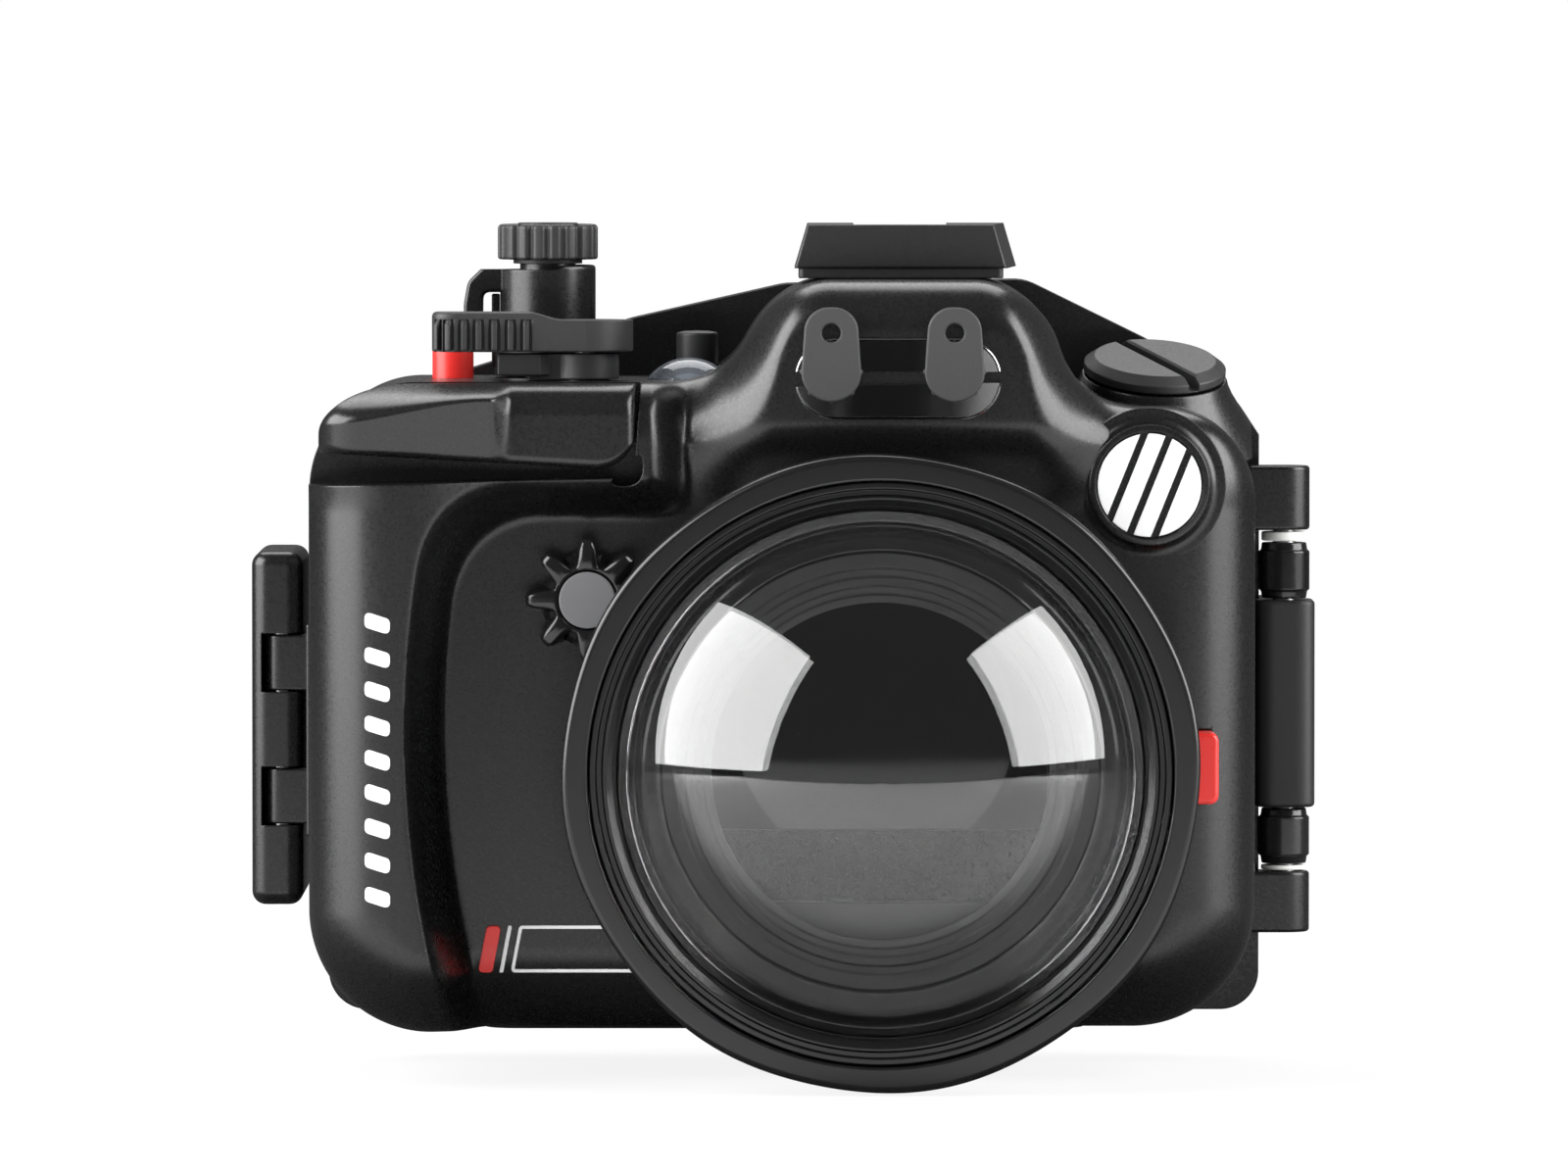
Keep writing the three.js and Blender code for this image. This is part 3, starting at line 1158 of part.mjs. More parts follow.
// Hinge: two lugs on the front shell, a pin with bushes and washers, and the door's leaf
function pinHole(low, high) {
  return rod('z', hinge.pin + fit, low, high, [hinge.x, hinge.y, 0]);
}

function hingeLug(low, high, holeLow, holeHigh) {
  const eye = rod('z', hinge.radius, low, high, [hinge.x, hinge.y, 0], seg.round);
  const arm = block(shellRight + fit, hinge.x, hinge.y - hinge.radius, hinge.y + hinge.radius - 2 * fit,
    low, high);
  return cut(join(eye, arm), pinHole(holeLow, holeHigh));
}

place('hinge_lug_upper', hingeLug(hinge.upperLow, hinge.upperHigh, hinge.upperLow - overrun,
  hinge.upperHigh - hinge.end + fit), 'paint');
place('hinge_lug_lower', hingeLug(hinge.lowerLow, hinge.lowerHigh, hinge.lowerLow + hinge.end - fit,
  hinge.lowerHigh + overrun), 'paint');
place('hinge_pin', rod('z', hinge.pin, hinge.lowerLow + hinge.end, hinge.upperHigh - hinge.end,
  [hinge.x, hinge.y, 0]), 'steel');

const washerGap = (hinge.upperLow - hinge.bushHigh) / 3;
[
  ['hinge_bush_upper', hinge.leafHigh + fit, hinge.bushHigh, hinge.radius, 'paint'],
  ['hinge_bush_lower', hinge.bushLow, hinge.leafLow - fit, hinge.radius, 'paint'],
  ['hinge_washer_upper', hinge.bushHigh + fit, hinge.upperLow - fit, hinge.washer, 'washer'],
  ['hinge_washer_lower', hinge.lowerHigh + fit, hinge.bushLow - fit, hinge.washer, 'washer'],
].forEach(([name, low, high, radius, material]) => {
  const bevel = washerGap / 3;
  const body = turned('z', [[0, low], [radius - bevel, low], [radius, low + bevel], [radius, high - bevel],
    [radius - bevel, high], [0, high]], [hinge.x, hinge.y, 0]);
  place(name, cut(body, pinHole(low - overrun, high + overrun)), material);
});

function hingeLeaf() {
  const eye = rod('z', hinge.leafRadius, hinge.leafLow, hinge.leafHigh, [hinge.x, hinge.y, 0], seg.round);
  const arm = prismZ(roundedRect(door.right + fit, hinge.leafRight, hinge.y, hinge.leafBackY, fit),
    hinge.leafLow, hinge.leafHigh, 1);
  return cut(join(eye, arm), pinHole(hinge.leafLow - overrun, hinge.leafHigh + overrun));
}

place('door_hinge_leaf', hingeLeaf(), 'paint');

// Latch: a bracket and pin on the shell, the lever, and the door's catch
const latchPlateRight = shellLeft - fit;

function latchBracket() {
  const plate = block(latch.plateLeft, latchPlateRight, latch.plateFrontY, latch.plateBackY, latch.plateLow,
    latch.plateHigh);
  const knuckles = latch.knuckles.map(([low, high]) => join(
    rod('z', latch.knuckle, low, high, [latch.pinX, latch.pinY, 0]),
    block(latch.pinX, latch.plateLeft + fit, latch.pinY - latch.knuckle, latch.pinY + latch.knuckle, low,
      high),
  ));
  const hole = rod('z', latch.pin + fit, latch.plateLow, latch.plateHigh, [latch.pinX, latch.pinY, 0]);
  return cut(join(plate, ...knuckles), hole);
}

const pinLow = latch.knuckles[0][0] - wall;
const pinHigh = latch.knuckles[1][1] + wall;
place('latch_bracket', latchBracket(), 'paint');
place('latch_pin', rod('z', latch.pin, pinLow, pinHigh, [latch.pinX, latch.pinY, 0]), 'steel');

function latchLever() {
  const body = prismZ(roundedRect(latch.left, latch.inner, latch.frontY, latch.backY, latch.round), latch.low,
    latch.high);
  const hookX = latch.inner + latch.hookOut;
  const hookY = latch.catchBackY + 2 * fit;
  const hook = prismZ(outline([
    [latch.inner - latch.round, latch.backY - latch.round], [latch.inner - latch.round, hookY],
    [hookX, hookY], [hookX, latch.catchBackY + latch.hookDeep],
    [latch.inner, latch.backY - latch.round],
  ]), latch.hookLow, latch.hookHigh);
  const pockets = latch.knuckles.map(([low, high]) => block(latch.pinX - latch.knuckle - fit,
    latch.inner + overrun,
    latch.frontY - overrun, latch.pinY + latch.knuckle + 2 * fit, low - fit, high + fit));
  const hole = rod('z', latch.pin + fit, latch.low - overrun, pinHigh + fit, [latch.pinX, latch.pinY, 0]);
  return cut(join(body, hook), ...pockets, hole);
}

place('latch_lever', latchLever(), 'paint');
place('door_catch', block(door.left - latch.catchOut, door.left - fit, latch.catchFrontY, latch.catchBackY,
  latch.hookLow - overrun, latch.hookHigh + overrun), 'paint');

export default housing;
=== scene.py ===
"""Underwater camera housing: the looks of its castings, controls, dome port, door, hinge and latch."""
import math

import bmesh
import bpy
import numpy as np
from mathutils import Matrix, Vector


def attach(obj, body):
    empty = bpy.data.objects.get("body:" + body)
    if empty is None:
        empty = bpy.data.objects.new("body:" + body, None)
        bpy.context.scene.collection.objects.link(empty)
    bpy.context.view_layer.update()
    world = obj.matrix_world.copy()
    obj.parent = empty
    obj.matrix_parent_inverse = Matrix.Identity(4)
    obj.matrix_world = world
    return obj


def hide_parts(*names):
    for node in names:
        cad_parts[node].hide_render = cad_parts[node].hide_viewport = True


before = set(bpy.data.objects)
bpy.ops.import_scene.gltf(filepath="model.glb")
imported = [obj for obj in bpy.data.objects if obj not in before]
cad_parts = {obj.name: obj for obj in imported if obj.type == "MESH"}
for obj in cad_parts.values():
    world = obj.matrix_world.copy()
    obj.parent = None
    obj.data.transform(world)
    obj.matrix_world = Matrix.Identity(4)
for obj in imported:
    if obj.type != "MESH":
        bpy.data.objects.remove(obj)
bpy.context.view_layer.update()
MM = 0.001
TURN = 2 * math.pi

# Camera: a long lens well in front of the housing, looking slightly down
LOOK_AT = Vector((0, -0.036, 0.0797))
CAMERA_REACH = 2.5
CAMERA_TILT = math.radians(2.3)
camera_data = bpy.data.cameras.new("camera")
camera_data.sensor_width = 36
camera_data.lens = 36 * 14375 / 1600
camera_data.clip_end = 100
camera = bpy.data.objects.new("camera", camera_data)
bpy.context.scene.collection.objects.link(camera)
camera.location = LOOK_AT + CAMERA_REACH * Vector((0, -math.cos(CAMERA_TILT), math.sin(CAMERA_TILT)))
camera.rotation_euler = (math.pi / 2 - CAMERA_TILT, 0, 0)
bpy.context.scene.camera = camera
bpy.context.scene.view_settings.view_transform = "Standard"

# Sizes in millimetres, the same as the solids'
FACE_Y = -36
PARTING_Y = 18
DOOR_BACK_Y = 40
FIT = 0.3
SHELL = {"left": -84.3, "right": 84.1, "bottom": 0.8, "deck_left": 116.2, "deck_right": 111.5,
         "corner_low": 22, "corner_left": 19, "corner_right": 17, "edge_low": 15, "edge_deck": 9}
HUMP = {"x": 21, "top": 134.2, "half": 27.8, "flare": 0.32, "round": 11, "blend": 11, "reach": 8,
        "front_z": 121, "front_half": 27, "front_flare": 0.45, "front_most": 34, "foot": 104}
GRIP = {"reach": 16, "valley": -60, "height": 55, "slope": 7.5, "corner": 16, "bow": 0.0028}
BAND = {"z": 92, "reach": 9, "end": -24}
FLASH = {"left": 1.9, "right": 38.5, "low": 109.8, "high": 124.2, "front": -45.2, "floor": -40}
PLUG_X = (8.35, 30.15)
PLUG_Z = 118.3

# Places on the front face, by x and z
PORT = (17, 48.1)
BADGE = (64.8, 98)
ZOOM = (-34.8, 77.9)

# Places in the plan, by x and y
TURRET = (-42.5, 2)
PIVOT = (-35.5, -22)
VIDEO_BUTTON = (-59.5, -2)
TOP_BUTTON = (-15.6, 2)
STATUS_LIGHT = (-17, -14)
TRAY_SCREW = (10, -6)
SHOE_SCREWS = {"front": (20.85, -8), "rear": (20.85, 2)}
BASE_SCREWS = {"left": (-44, 0), "right": (44, 0)}


# Node helpers and the shared shader groups
def node(tree, kind, **inputs):
    """A shader node with its inputs set by name: a value, or a link from another node's output."""
    made = tree.nodes.new(kind)
    for name, value in inputs.items():
        socket = made.inputs[int(name[1:])] if name[0] == "_" else made.inputs[name.replace("_", " ")]
        if isinstance(value, bpy.types.NodeSocket):
            tree.links.new(value, socket)
        else:
            socket.default_value = value
    return made


def maths(tree, operation, a, b=0.0):
    """One step of arithmetic on two values or links."""
    made = node(tree, "ShaderNodeMath", _0=a, _1=b)
    made.operation = operation
    return made.outputs[0]


def group(name, inputs, outputs):
    """An empty shader group with named float inputs and the outputs asked for."""
    tree = bpy.data.node_groups.new(name, "ShaderNodeTree")
    for label, value in inputs.items():
        socket = tree.interface.new_socket(label, in_out="INPUT", socket_type="NodeSocketFloat")
        socket.default_value = value
    for label, kind in outputs.items():
        tree.interface.new_socket(label, in_out="OUTPUT", socket_type=f"NodeSocket{kind}")
    entry = tree.nodes.new("NodeGroupInput")
    leave = tree.nodes.new("NodeGroupOutput")
    return tree, entry.outputs, leave.inputs


def speckle_group():
    """Fine grain of a coat or a moulded skin: noise of two sizes makes the height, and a slow
    cloud makes small changes of shade and roughness. Edges are softened in the normal."""
    tree, given, out = group(
        "fine grain",
        {"Grain size": 1500, "Grain height": 0.03, "Cloud size": 25, "Edge": 0.0004},
        {"Normal": "Vector", "Cloud": "Float", "Grain": "Float"})
    where = node(tree, "ShaderNodeTexCoord").outputs["Object"]
    fine = node(tree, "ShaderNodeTexNoise", Vector=where, Scale=given["Grain size"], Detail=2.0,
                Roughness=0.6)
    coarse_scale = maths(tree, "MULTIPLY", given["Grain size"], 0.31)
    coarse = node(tree, "ShaderNodeTexNoise", Vector=where, Scale=coarse_scale, Detail=1.0)
    height = maths(tree, "ADD", fine.outputs[0], maths(tree, "MULTIPLY", coarse.outputs[0], 0.6))
    edge = node(tree, "ShaderNodeBevel", Radius=given["Edge"])
    edge.samples = 6
    bump = node(tree, "ShaderNodeBump", Height=height, Distance=0.0002, Strength=given["Grain height"],
                Normal=edge.outputs[0])
    cloud = node(tree, "ShaderNodeTexNoise", Vector=where, Scale=given["Cloud size"], Detail=3.0)
    tree.links.new(bump.outputs[0], out["Normal"])
    tree.links.new(cloud.outputs[0], out["Cloud"])
    tree.links.new(fine.outputs[0], out["Grain"])
    return tree


def turning_group():
    """Lathe marks: fine rings round an axis along Y through one point, as height and as a shade."""
    tree, given, out = group(
        "lathe marks", {"Centre X": 0, "Centre Z": 0, "Pitch": 4000, "Depth": 0.006},
        {"Normal": "Vector", "Rings": "Float"})
    where = node(tree, "ShaderNodeTexCoord").outputs["Object"]
    split = node(tree, "ShaderNodeSeparateXYZ", Vector=where).outputs
    across = maths(tree, "SUBTRACT", split[0], given["Centre X"])
    up = maths(tree, "SUBTRACT", split[2], given["Centre Z"])
    radius = maths(tree, "SQRT", maths(tree, "ADD", maths(tree, "MULTIPLY", across, across),
                                       maths(tree, "MULTIPLY", up, up)))
    rings = node(tree, "ShaderNodeTexNoise", Scale=1.0, Detail=2.0)
    rings.noise_dimensions = "1D"
    tree.links.new(maths(tree, "MULTIPLY", radius, given["Pitch"]), rings.inputs["W"])
    bump = node(tree, "ShaderNodeBump", Height=rings.outputs[0], Distance=0.0001, Strength=given["Depth"])
    tree.links.new(bump.outputs[0], out["Normal"])
    tree.links.new(rings.outputs[0], out["Rings"])
    return tree


FINE_GRAIN = speckle_group()
LATHE_MARKS = turning_group()


def blended(tree, share, low, high):
    """A colour that changes from low to high with a share that varies over the surface."""
    mix = node(tree, "ShaderNodeMix")
    mix.data_type = "RGBA"
    tree.links.new(share, mix.inputs["Factor"])
    mix.inputs[6].default_value = (*low, 1)
    mix.inputs[7].default_value = (*high, 1)
    return mix.outputs[2]


def remapped(tree, share, low, high):
    """A noise's middle range, 0.3 to 0.7, stretched from one value to another."""
    made = node(tree, "ShaderNodeMapRange", _0=share, _1=0.3, _2=0.7, _3=low, _4=high)
    return made.outputs[0]


def new_material(name):
    """A material with its node tree and its Principled shader."""
    material = bpy.data.materials.new(name)
    material.use_nodes = True
    return material, material.node_tree, material.node_tree.nodes["Principled BSDF"]


def textured(name, skin_tree, settings, colour_share, rough_share, colours, roughness):
    """A finish under one of the shared groups: two of its outputs carry the colour and the roughness
    from one value to the other, and its third is the surface's normal."""
    material, tree, shader = new_material(name)
    skin = node(tree, "ShaderNodeGroup")
    skin.node_tree = skin_tree
    for label, value in settings.items():
        skin.inputs[label].default_value = value
    colour = blended(tree, skin.outputs[colour_share], *colours)
    tree.links.new(colour, shader.inputs["Base Color"])
    tree.links.new(remapped(tree, skin.outputs[rough_share], *roughness), shader.inputs["Roughness"])
    tree.links.new(skin.outputs["Normal"], shader.inputs["Normal"])
    return material


def coated(name, colour, shade, rough, grain, height, spread=0.05, edge=0.0004, metal=0.0):
    """A painted or moulded finish: its colour wanders a little from colour to shade, its roughness
    by spread, and the grain gives it its orange-peel or moulded skin."""
    material = textured(name, FINE_GRAIN, {"Grain size": grain, "Grain height": height, "Edge": edge},
                        "Cloud", "Grain", (colour, shade), (rough - spread, rough + spread))
    material.node_tree.nodes["Principled BSDF"].inputs["Metallic"].default_value = metal
    return material


def lathed(name, colour, shade, rough, centre):
    """A turned finish: rings round one axis change its height, shade and roughness."""
    settings = {"Centre X": centre[0] * MM, "Centre Z": centre[1] * MM}
    return textured(name, LATHE_MARKS, settings, "Rings", "Rings", (colour, shade),
                    (rough - RING_SPREAD, rough + RING_SPREAD))


def clear(name, tint, rough=0.02, through=1.0):
    """Clear plastic: light goes through it and it mirrors a little, with faint swirls of polish."""
    material, tree, shader = new_material(name)
    where = node(tree, "ShaderNodeTexCoord").outputs["Object"]
    swirl = node(tree, "ShaderNodeTexNoise", Vector=where, Scale=60.0, Detail=3.0).outputs[0]
    colour = blended(tree, swirl, tint, tuple(0.97 * c for c in tint))
    tree.links.new(colour, shader.inputs["Base Color"])
    tree.links.new(remapped(tree, swirl, rough, 2 * rough), shader.inputs["Roughness"])
    shader.inputs["Transmission Weight"].default_value = through
    shader.inputs["IOR"].default_value = ACRYLIC_IOR
    return material


RING_SPREAD = 0.02
ACRYLIC_IOR = 1.49

# Coats and mouldings by name, colour, shade, roughness, fineness of grain and height of grain
FINISH = {
    "paint": coated("satin black coat", (0.0055, 0.0055, 0.0058), (0.0066, 0.0066, 0.007), 0.29, 1500, 0.03),
    "polymer": coated("matt black moulding", (0.016, 0.016, 0.017), (0.021, 0.021, 0.022), 0.48, 1800, 0.12,
                      edge=0.0003),
    "rubber": coated("dark grey rubber", (0.029, 0.029, 0.03), (0.037, 0.037, 0.038), 0.6, 1200, 0.15,
                     edge=0.0003),
    "seal": coated("black seal rubber", (0.006, 0.006, 0.006), (0.01, 0.01, 0.01), 0.4, 2200, 0.08),
    "red": coated("red plastic", (0.8, 0.035, 0.03), (0.7, 0.025, 0.02), 0.32, 1500, 0.06, edge=0.0003),
    "disc": coated("grey cap foil", (0.13, 0.13, 0.135), (0.15, 0.15, 0.155), 0.45, 2500, 0.05),
    "washer": coated("white washer plastic", (0.72, 0.72, 0.69), (0.8, 0.8, 0.77), 0.45, 1500, 0.06),
    "board": coated("green board lacquer", (0.01, 0.09, 0.035), (0.014, 0.12, 0.05), 0.3, 700, 0.1),
    "white": coated("white print", (0.8, 0.8, 0.8), (0.86, 0.86, 0.86), 0.4, 1500, 0.05),
    "steel": coated("brushed steel", (0.5, 0.5, 0.51), (0.62, 0.62, 0.63), 0.32, 2500, 0.08, metal=1.0),
    "gloss": coated("glossy black", (0.006, 0.006, 0.0062), (0.008, 0.008, 0.0083), 0.16, 2000, 0.03,
                    spread=0.03),
    "shoe": coated("fine matt coat", (0.0095, 0.0095, 0.01), (0.0125, 0.0125, 0.013), 0.42, 1500, 0.12),
    "leaf": coated("matt coat", (0.008, 0.008, 0.0083), (0.011, 0.011, 0.0113), 0.48, 1500, 0.12),
    "turned": lathed("turned black coat", (0.0045, 0.0045, 0.0047), (0.006, 0.006, 0.0063), 0.25, PORT),
    "clear": clear("clear plastic", (0.2, 0.2, 0.21), rough=0.05),
    "dome": clear("clear dome", (1.0, 1.0, 1.0), rough=0.005),
    "milky": clear("milky clear plastic", (0.8, 0.88, 0.98), through=0.85),
    "smoke": clear("smoked clear plastic", (0.002, 0.002, 0.0022)),
}
SLOT = {"dome": "clear", "milky": "clear", "smoke": "clear", "turned": "paint", "gloss": "paint",
        "shoe": "paint", "leaf": "paint"}
CREASE = 32


# Making a mesh from arrays of points
def shaped(name, points, faces, crease=CREASE):
    """One closed piece from points in millimetres: doubles merged, faces turned outwards, and
    edges sharper than the crease angle kept sharp."""
    mesh = bpy.data.meshes.new(name)
    mesh.from_pydata((np.asarray(points, float).reshape(-1, 3) * MM).tolist(), [], faces)
    work = bmesh.new()
    work.from_mesh(mesh)
    bmesh.ops.remove_doubles(work, verts=work.verts, dist=2e-7)
    bmesh.ops.dissolve_degenerate(work, edges=work.edges, dist=1e-8)
    bmesh.ops.recalc_face_normals(work, faces=work.faces)
    work.to_mesh(mesh)
    work.free()
    piece = bpy.data.objects.new(name, mesh)
    bpy.context.scene.collection.objects.link(piece)
    smooth(piece, crease)
    return piece


def smooth(piece, crease):
    """Smooth shading with sharp edges where faces meet at more than the crease angle."""
    piece.data.shade_smooth()
    piece.data.set_sharp_from_angle(angle=math.radians(crease))


def skin(name, grid, ring=False, crease=CREASE):
    """A closed skin over a grid of points, rows by columns. The columns wrap round. The first and
    last rows each get one flat face, or with ring the rows wrap round too."""
    rows, columns = grid.shape[:2]
    number = np.arange(rows * columns).reshape(rows, columns)
    below, above = (number, np.roll(number, -1, 0)) if ring else (number[:-1], number[1:])
    quads = np.stack([below, np.roll(below, -1, 1), np.roll(above, -1, 1), above], -1).reshape(-1, 4)
    ends = [] if ring else [number[0][::-1].tolist(), number[-1].tolist()]
    return shaped(name, grid, quads.tolist() + ends, crease)


def slab(name, front, back):
    """A closed body between two grids of points that share their rows and columns."""
    rows, columns = front.shape[:2]
    number = np.arange(rows * columns).reshape(rows, columns)
    rim = np.concatenate([number[:-1, 0], number[-1, :-1], number[:0:-1, -1], number[0, :0:-1]])
    quads = np.stack([number[:-1, :-1], number[1:, :-1], number[1:, 1:], number[:-1, 1:]], -1).reshape(-1, 4)
    flat_back = np.ptp(back[..., 1]) < 1e-6
    points = [front.reshape(-1, 3), back.reshape(-1, 3)]
    far = rim + rows * columns
    faces = quads.tolist()
    if flat_back:
        points[1] = back.reshape(-1, 3)[rim]
        far = np.arange(len(rim)) + rows * columns
        faces.append(far.tolist())
    else:
        faces += (quads[:, ::-1] + rows * columns).tolist()
    faces += np.stack([rim, np.roll(rim, -1), np.roll(far, -1), far], -1).tolist()
    return shaped(name, np.concatenate(points), faces)


def softened(corners, radius, steps=6, closed=True):
    """A line of corners whose turns are rounded: each corner becomes a short parabola that touches
    both sides, as long as the radius asks for and the sides allow."""
    corners = np.asarray(corners, float)
    radius = np.broadcast_to(np.asarray(radius, float), (len(corners),))
    before = np.roll(corners, 1, 0) - corners
    after = np.roll(corners, -1, 0) - corners
    if not closed:
        before[0], after[-1] = after[0], before[-1]
    reach_before = np.linalg.norm(before, axis=1)
    reach_after = np.linalg.norm(after, axis=1)
    along_before = before / reach_before[:, None]
    along_after = after / reach_after[:, None]
    turn = math.pi - np.arccos(np.clip((along_before * along_after).sum(1), -1, 1))
    reach = np.minimum(radius * np.tan(turn / 2), 0.49 * np.minimum(reach_before, reach_after))
    if not closed:
        reach[[0, -1]] = 0
    start = corners + along_before * reach[:, None]
    end = corners + along_after * reach[:, None]
    t = np.linspace(0, 1, steps + 1)[None, :, None]
    curve = (1 - t) ** 2 * start[:, None] + 2 * t * (1 - t) * corners[:, None] + t ** 2 * end[:, None]
    points = curve.reshape(-1, corners.shape[1])
    keep = np.linalg.norm(points - np.roll(points, 1, 0), axis=1) > 1e-5
    keep[0] |= not closed
    return points[keep]


def arc(centre, radius, angle):
    """Points round a centre, at one radius or at one for each angle."""
    return np.stack([centre[0] + radius * np.cos(angle), centre[1] + radius * np.sin(angle)], -1)


def boxed(left, right, low, high, radius, steps=8):
    """A rounded rectangle's loop of points: true quarter circles at its corners."""
    quarter = arc((0, 0), radius, np.linspace(0, math.pi / 2, steps + 1))
    turns = np.array([[[1, 0], [0, 1]], [[0, -1], [1, 0]], [[-1, 0], [0, -1]], [[0, 1], [-1, 0]]])
    centres = np.array([[right - radius, high - radius], [left + radius, high - radius],
                        [left + radius, low + radius], [right - radius, low + radius]])
    return (np.einsum("kab,nb->kna", turns, quarter) + centres[:, None]).reshape(-1, 2)


def circle(centre, radius, sides=96):
    """Points at equal angles round a centre."""
    return arc(centre, radius, np.arange(sides) * TURN / sides)


def side_normals(loop):
    """Unit outward normals at the points of a loop that runs anticlockwise."""
    ahead = np.roll(loop, -1, 0) - loop
    behind = loop - np.roll(loop, 1, 0)
    ahead /= np.linalg.norm(ahead, axis=1)[:, None]
    behind /= np.linalg.norm(behind, axis=1)[:, None]
    along = ahead + behind
    along /= np.linalg.norm(along, axis=1)[:, None]
    miter = 1 / np.clip((along * ahead).sum(1), 0.5, 1)
    return np.stack([along[:, 1], -along[:, 0]], -1) * miter[:, None]


def finer(loop, step):
    """The same closed loop with points added, so that none stand further apart than the step."""
    runs = []
    for start, end in zip(loop, np.roll(loop, -1, 0)):
        count = max(1, math.ceil(np.hypot(*(end - start)) / step))
        runs.append(start + (end - start) * (np.arange(count) / count)[:, None])
    return np.concatenate(runs)


def anticlockwise(loop):
    """The loop, turned round where its signed area is below zero."""
    x, z = loop.T
    area = (x * np.roll(z, -1) - np.roll(x, -1) * z).sum()
    return loop if area > 0 else loop[::-1]


def upright(flat, height, along):
    """Points of a flat drawing set at heights along one axis: Z over a plan, Y behind a front view,
    or X beside a side view."""
    flat = np.broadcast_to(flat, height.shape + (2,))
    parts = {"z": [flat[..., 0], flat[..., 1], height], "y": [flat[..., 0], height, flat[..., 1]],
             "x": [height, flat[..., 0], flat[..., 1]]}[along]
    return np.stack(parts, -1)


def plate(name, loop, heights, along="z", edge=0.5, steps=4, edges=None):
    """A loop carried from one height to another. Both rims are rounded by an edge radius, or each by
    its own."""
    loop = anticlockwise(np.asarray(loop, float))
    low, high = heights
    low_edge, high_edge = edges or (edge, edge)
    angle = np.linspace(0, math.pi / 2, steps + 1)
    inset = np.concatenate([low_edge * (1 - np.sin(angle)), high_edge * (1 - np.sin(angle[::-1]))])
    level = np.concatenate([low + low_edge * (1 - np.cos(angle)),
                            high - high_edge * (1 - np.cos(angle[::-1]))])
    flat = loop[None] - inset[:, None, None] * side_normals(loop)[None]
    return skin(name, upright(flat, np.broadcast_to(level[:, None], flat.shape[:2]), along))


def turned(name, profile, centre=(0, 0), along="y", sides=128, ring=False, scallop=None, crease=CREASE):
    """A profile of radius and height carried round an axis. With scallop, each radius is lessened
    by a length that depends on the angle, the height and the radius."""
    profile = np.asarray(profile, float)
    angle = np.arange(sides) * TURN / sides
    radius = np.maximum(profile[:, 0], 1e-4)[:, None] * np.ones_like(angle)
    height = profile[:, 1][:, None] * np.ones_like(angle)
    if scallop:
        radius = radius - scallop(angle[None], height, radius)
    return skin(name, upright(arc(centre, radius, angle), height, along), ring=ring, crease=crease)


def swept(name, path, section):
    """A closed section carried round a closed path that faces the front, kept square to it: a seal in
    its groove."""
    along = np.roll(path, -1, 0) - np.roll(path, 1, 0)
    along /= np.linalg.norm(along, axis=1)[:, None]
    depth = np.broadcast_to([0.0, 1.0, 0.0], path.shape)
    out = np.cross(along, depth)
    out /= np.linalg.norm(out, axis=1)[:, None]
    grid = path[:, None] + out[:, None] * section[None, :, :1] + depth[:, None] * section[None, :, 1:]
    return skin(name, grid, ring=True)


def worked(piece, tools, operation, crease=CREASE):
    """Cuts tools out of a piece, joins them on, or keeps what they share."""
    for tool in tools:
        step = piece.modifiers.new("work", "BOOLEAN")
        step.operation = operation
        step.solver = "MANIFOLD"
        step.object = tool
    depsgraph = bpy.context.evaluated_depsgraph_get()
    mesh = bpy.data.meshes.new_from_object(piece.evaluated_get(depsgraph))
    piece.modifiers.clear()
    old = piece.data
    piece.data = mesh
    bpy.data.meshes.remove(old)
    for tool in tools:
        bpy.data.objects.remove(tool)
    smooth(piece, crease)
    return piece


def cut(piece, *tools):
    return worked(piece, tools, "DIFFERENCE")


def joined(piece, *tools, crease=CREASE):
    return worked(piece, tools, "UNION", crease)


def kept(piece, *tools):
    return worked(piece, tools, "INTERSECT")


def rod(radius, heights, centre, along="z", sides=48):
    """A tool for a bore: a circle carried along an axis."""
    return plate("tool", circle(centre, radius, sides), heights, along, edge=0)


def brick(left, right, near, far, low, high):
    """A plain block: a rectangle in the plan, carried up."""
    return plate("tool", [[left, near], [right, near], [right, far], [left, far]], (low, high), edge=0)


def moved(piece, matrix):
    """Turns or shifts a piece's mesh, so that its object stays at the origin."""
    piece.data.transform(matrix)
    return piece


def seat(piece, body, finish, *nodes):
    """Gives a piece its finish, sets it on its body and lets it stand for its solids."""
    piece.data.materials.clear()
    piece.data.materials.append(FINISH[finish])
    faces = piece.data.polygons
    faces.foreach_set("material_index", np.zeros(len(faces), np.int32))
    weighted = piece.modifiers.new("weighted normals", "WEIGHTED_NORMAL")
    weighted.keep_sharp = True
    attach(piece, body)
    SLOT.get(finish, finish)
    if nodes:
        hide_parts(*nodes)


# The front casting's outline and front surface
def eased(low, high, value):
    """An S from 0 to 1 between two values: t t (3 - 2 t) of the share t of the way."""
    t = np.clip((value - low) / (high - low), 0, 1)
    return t * t * (3 - 2 * t)


def soft_min(a, b, size):
    """The smaller of two values, with a hollow curve of one size where they meet."""
    near = np.maximum(size - np.abs(a - b), 0) / size
    return np.minimum(a, b) - near * near * size / 4


def corner_distance(qx, qz, radius):
    """Distance from a corner's quarter circle: the length past both sides, or the nearer side inside."""
    return np.hypot(np.maximum(qx, 0), np.maximum(qz, 0)) + np.minimum(np.maximum(qx, qz), 0) - radius


def box_distance(x, z, left, right, low, high, radius):
    """Distance from a rounded rectangle, negative inside."""
    qx = np.abs(x - (left + right) / 2) - (right - left) / 2 + radius
    qz = np.abs(z - (low + high) / 2) - (high - low) / 2 + radius
    return corner_distance(qx, qz, radius)


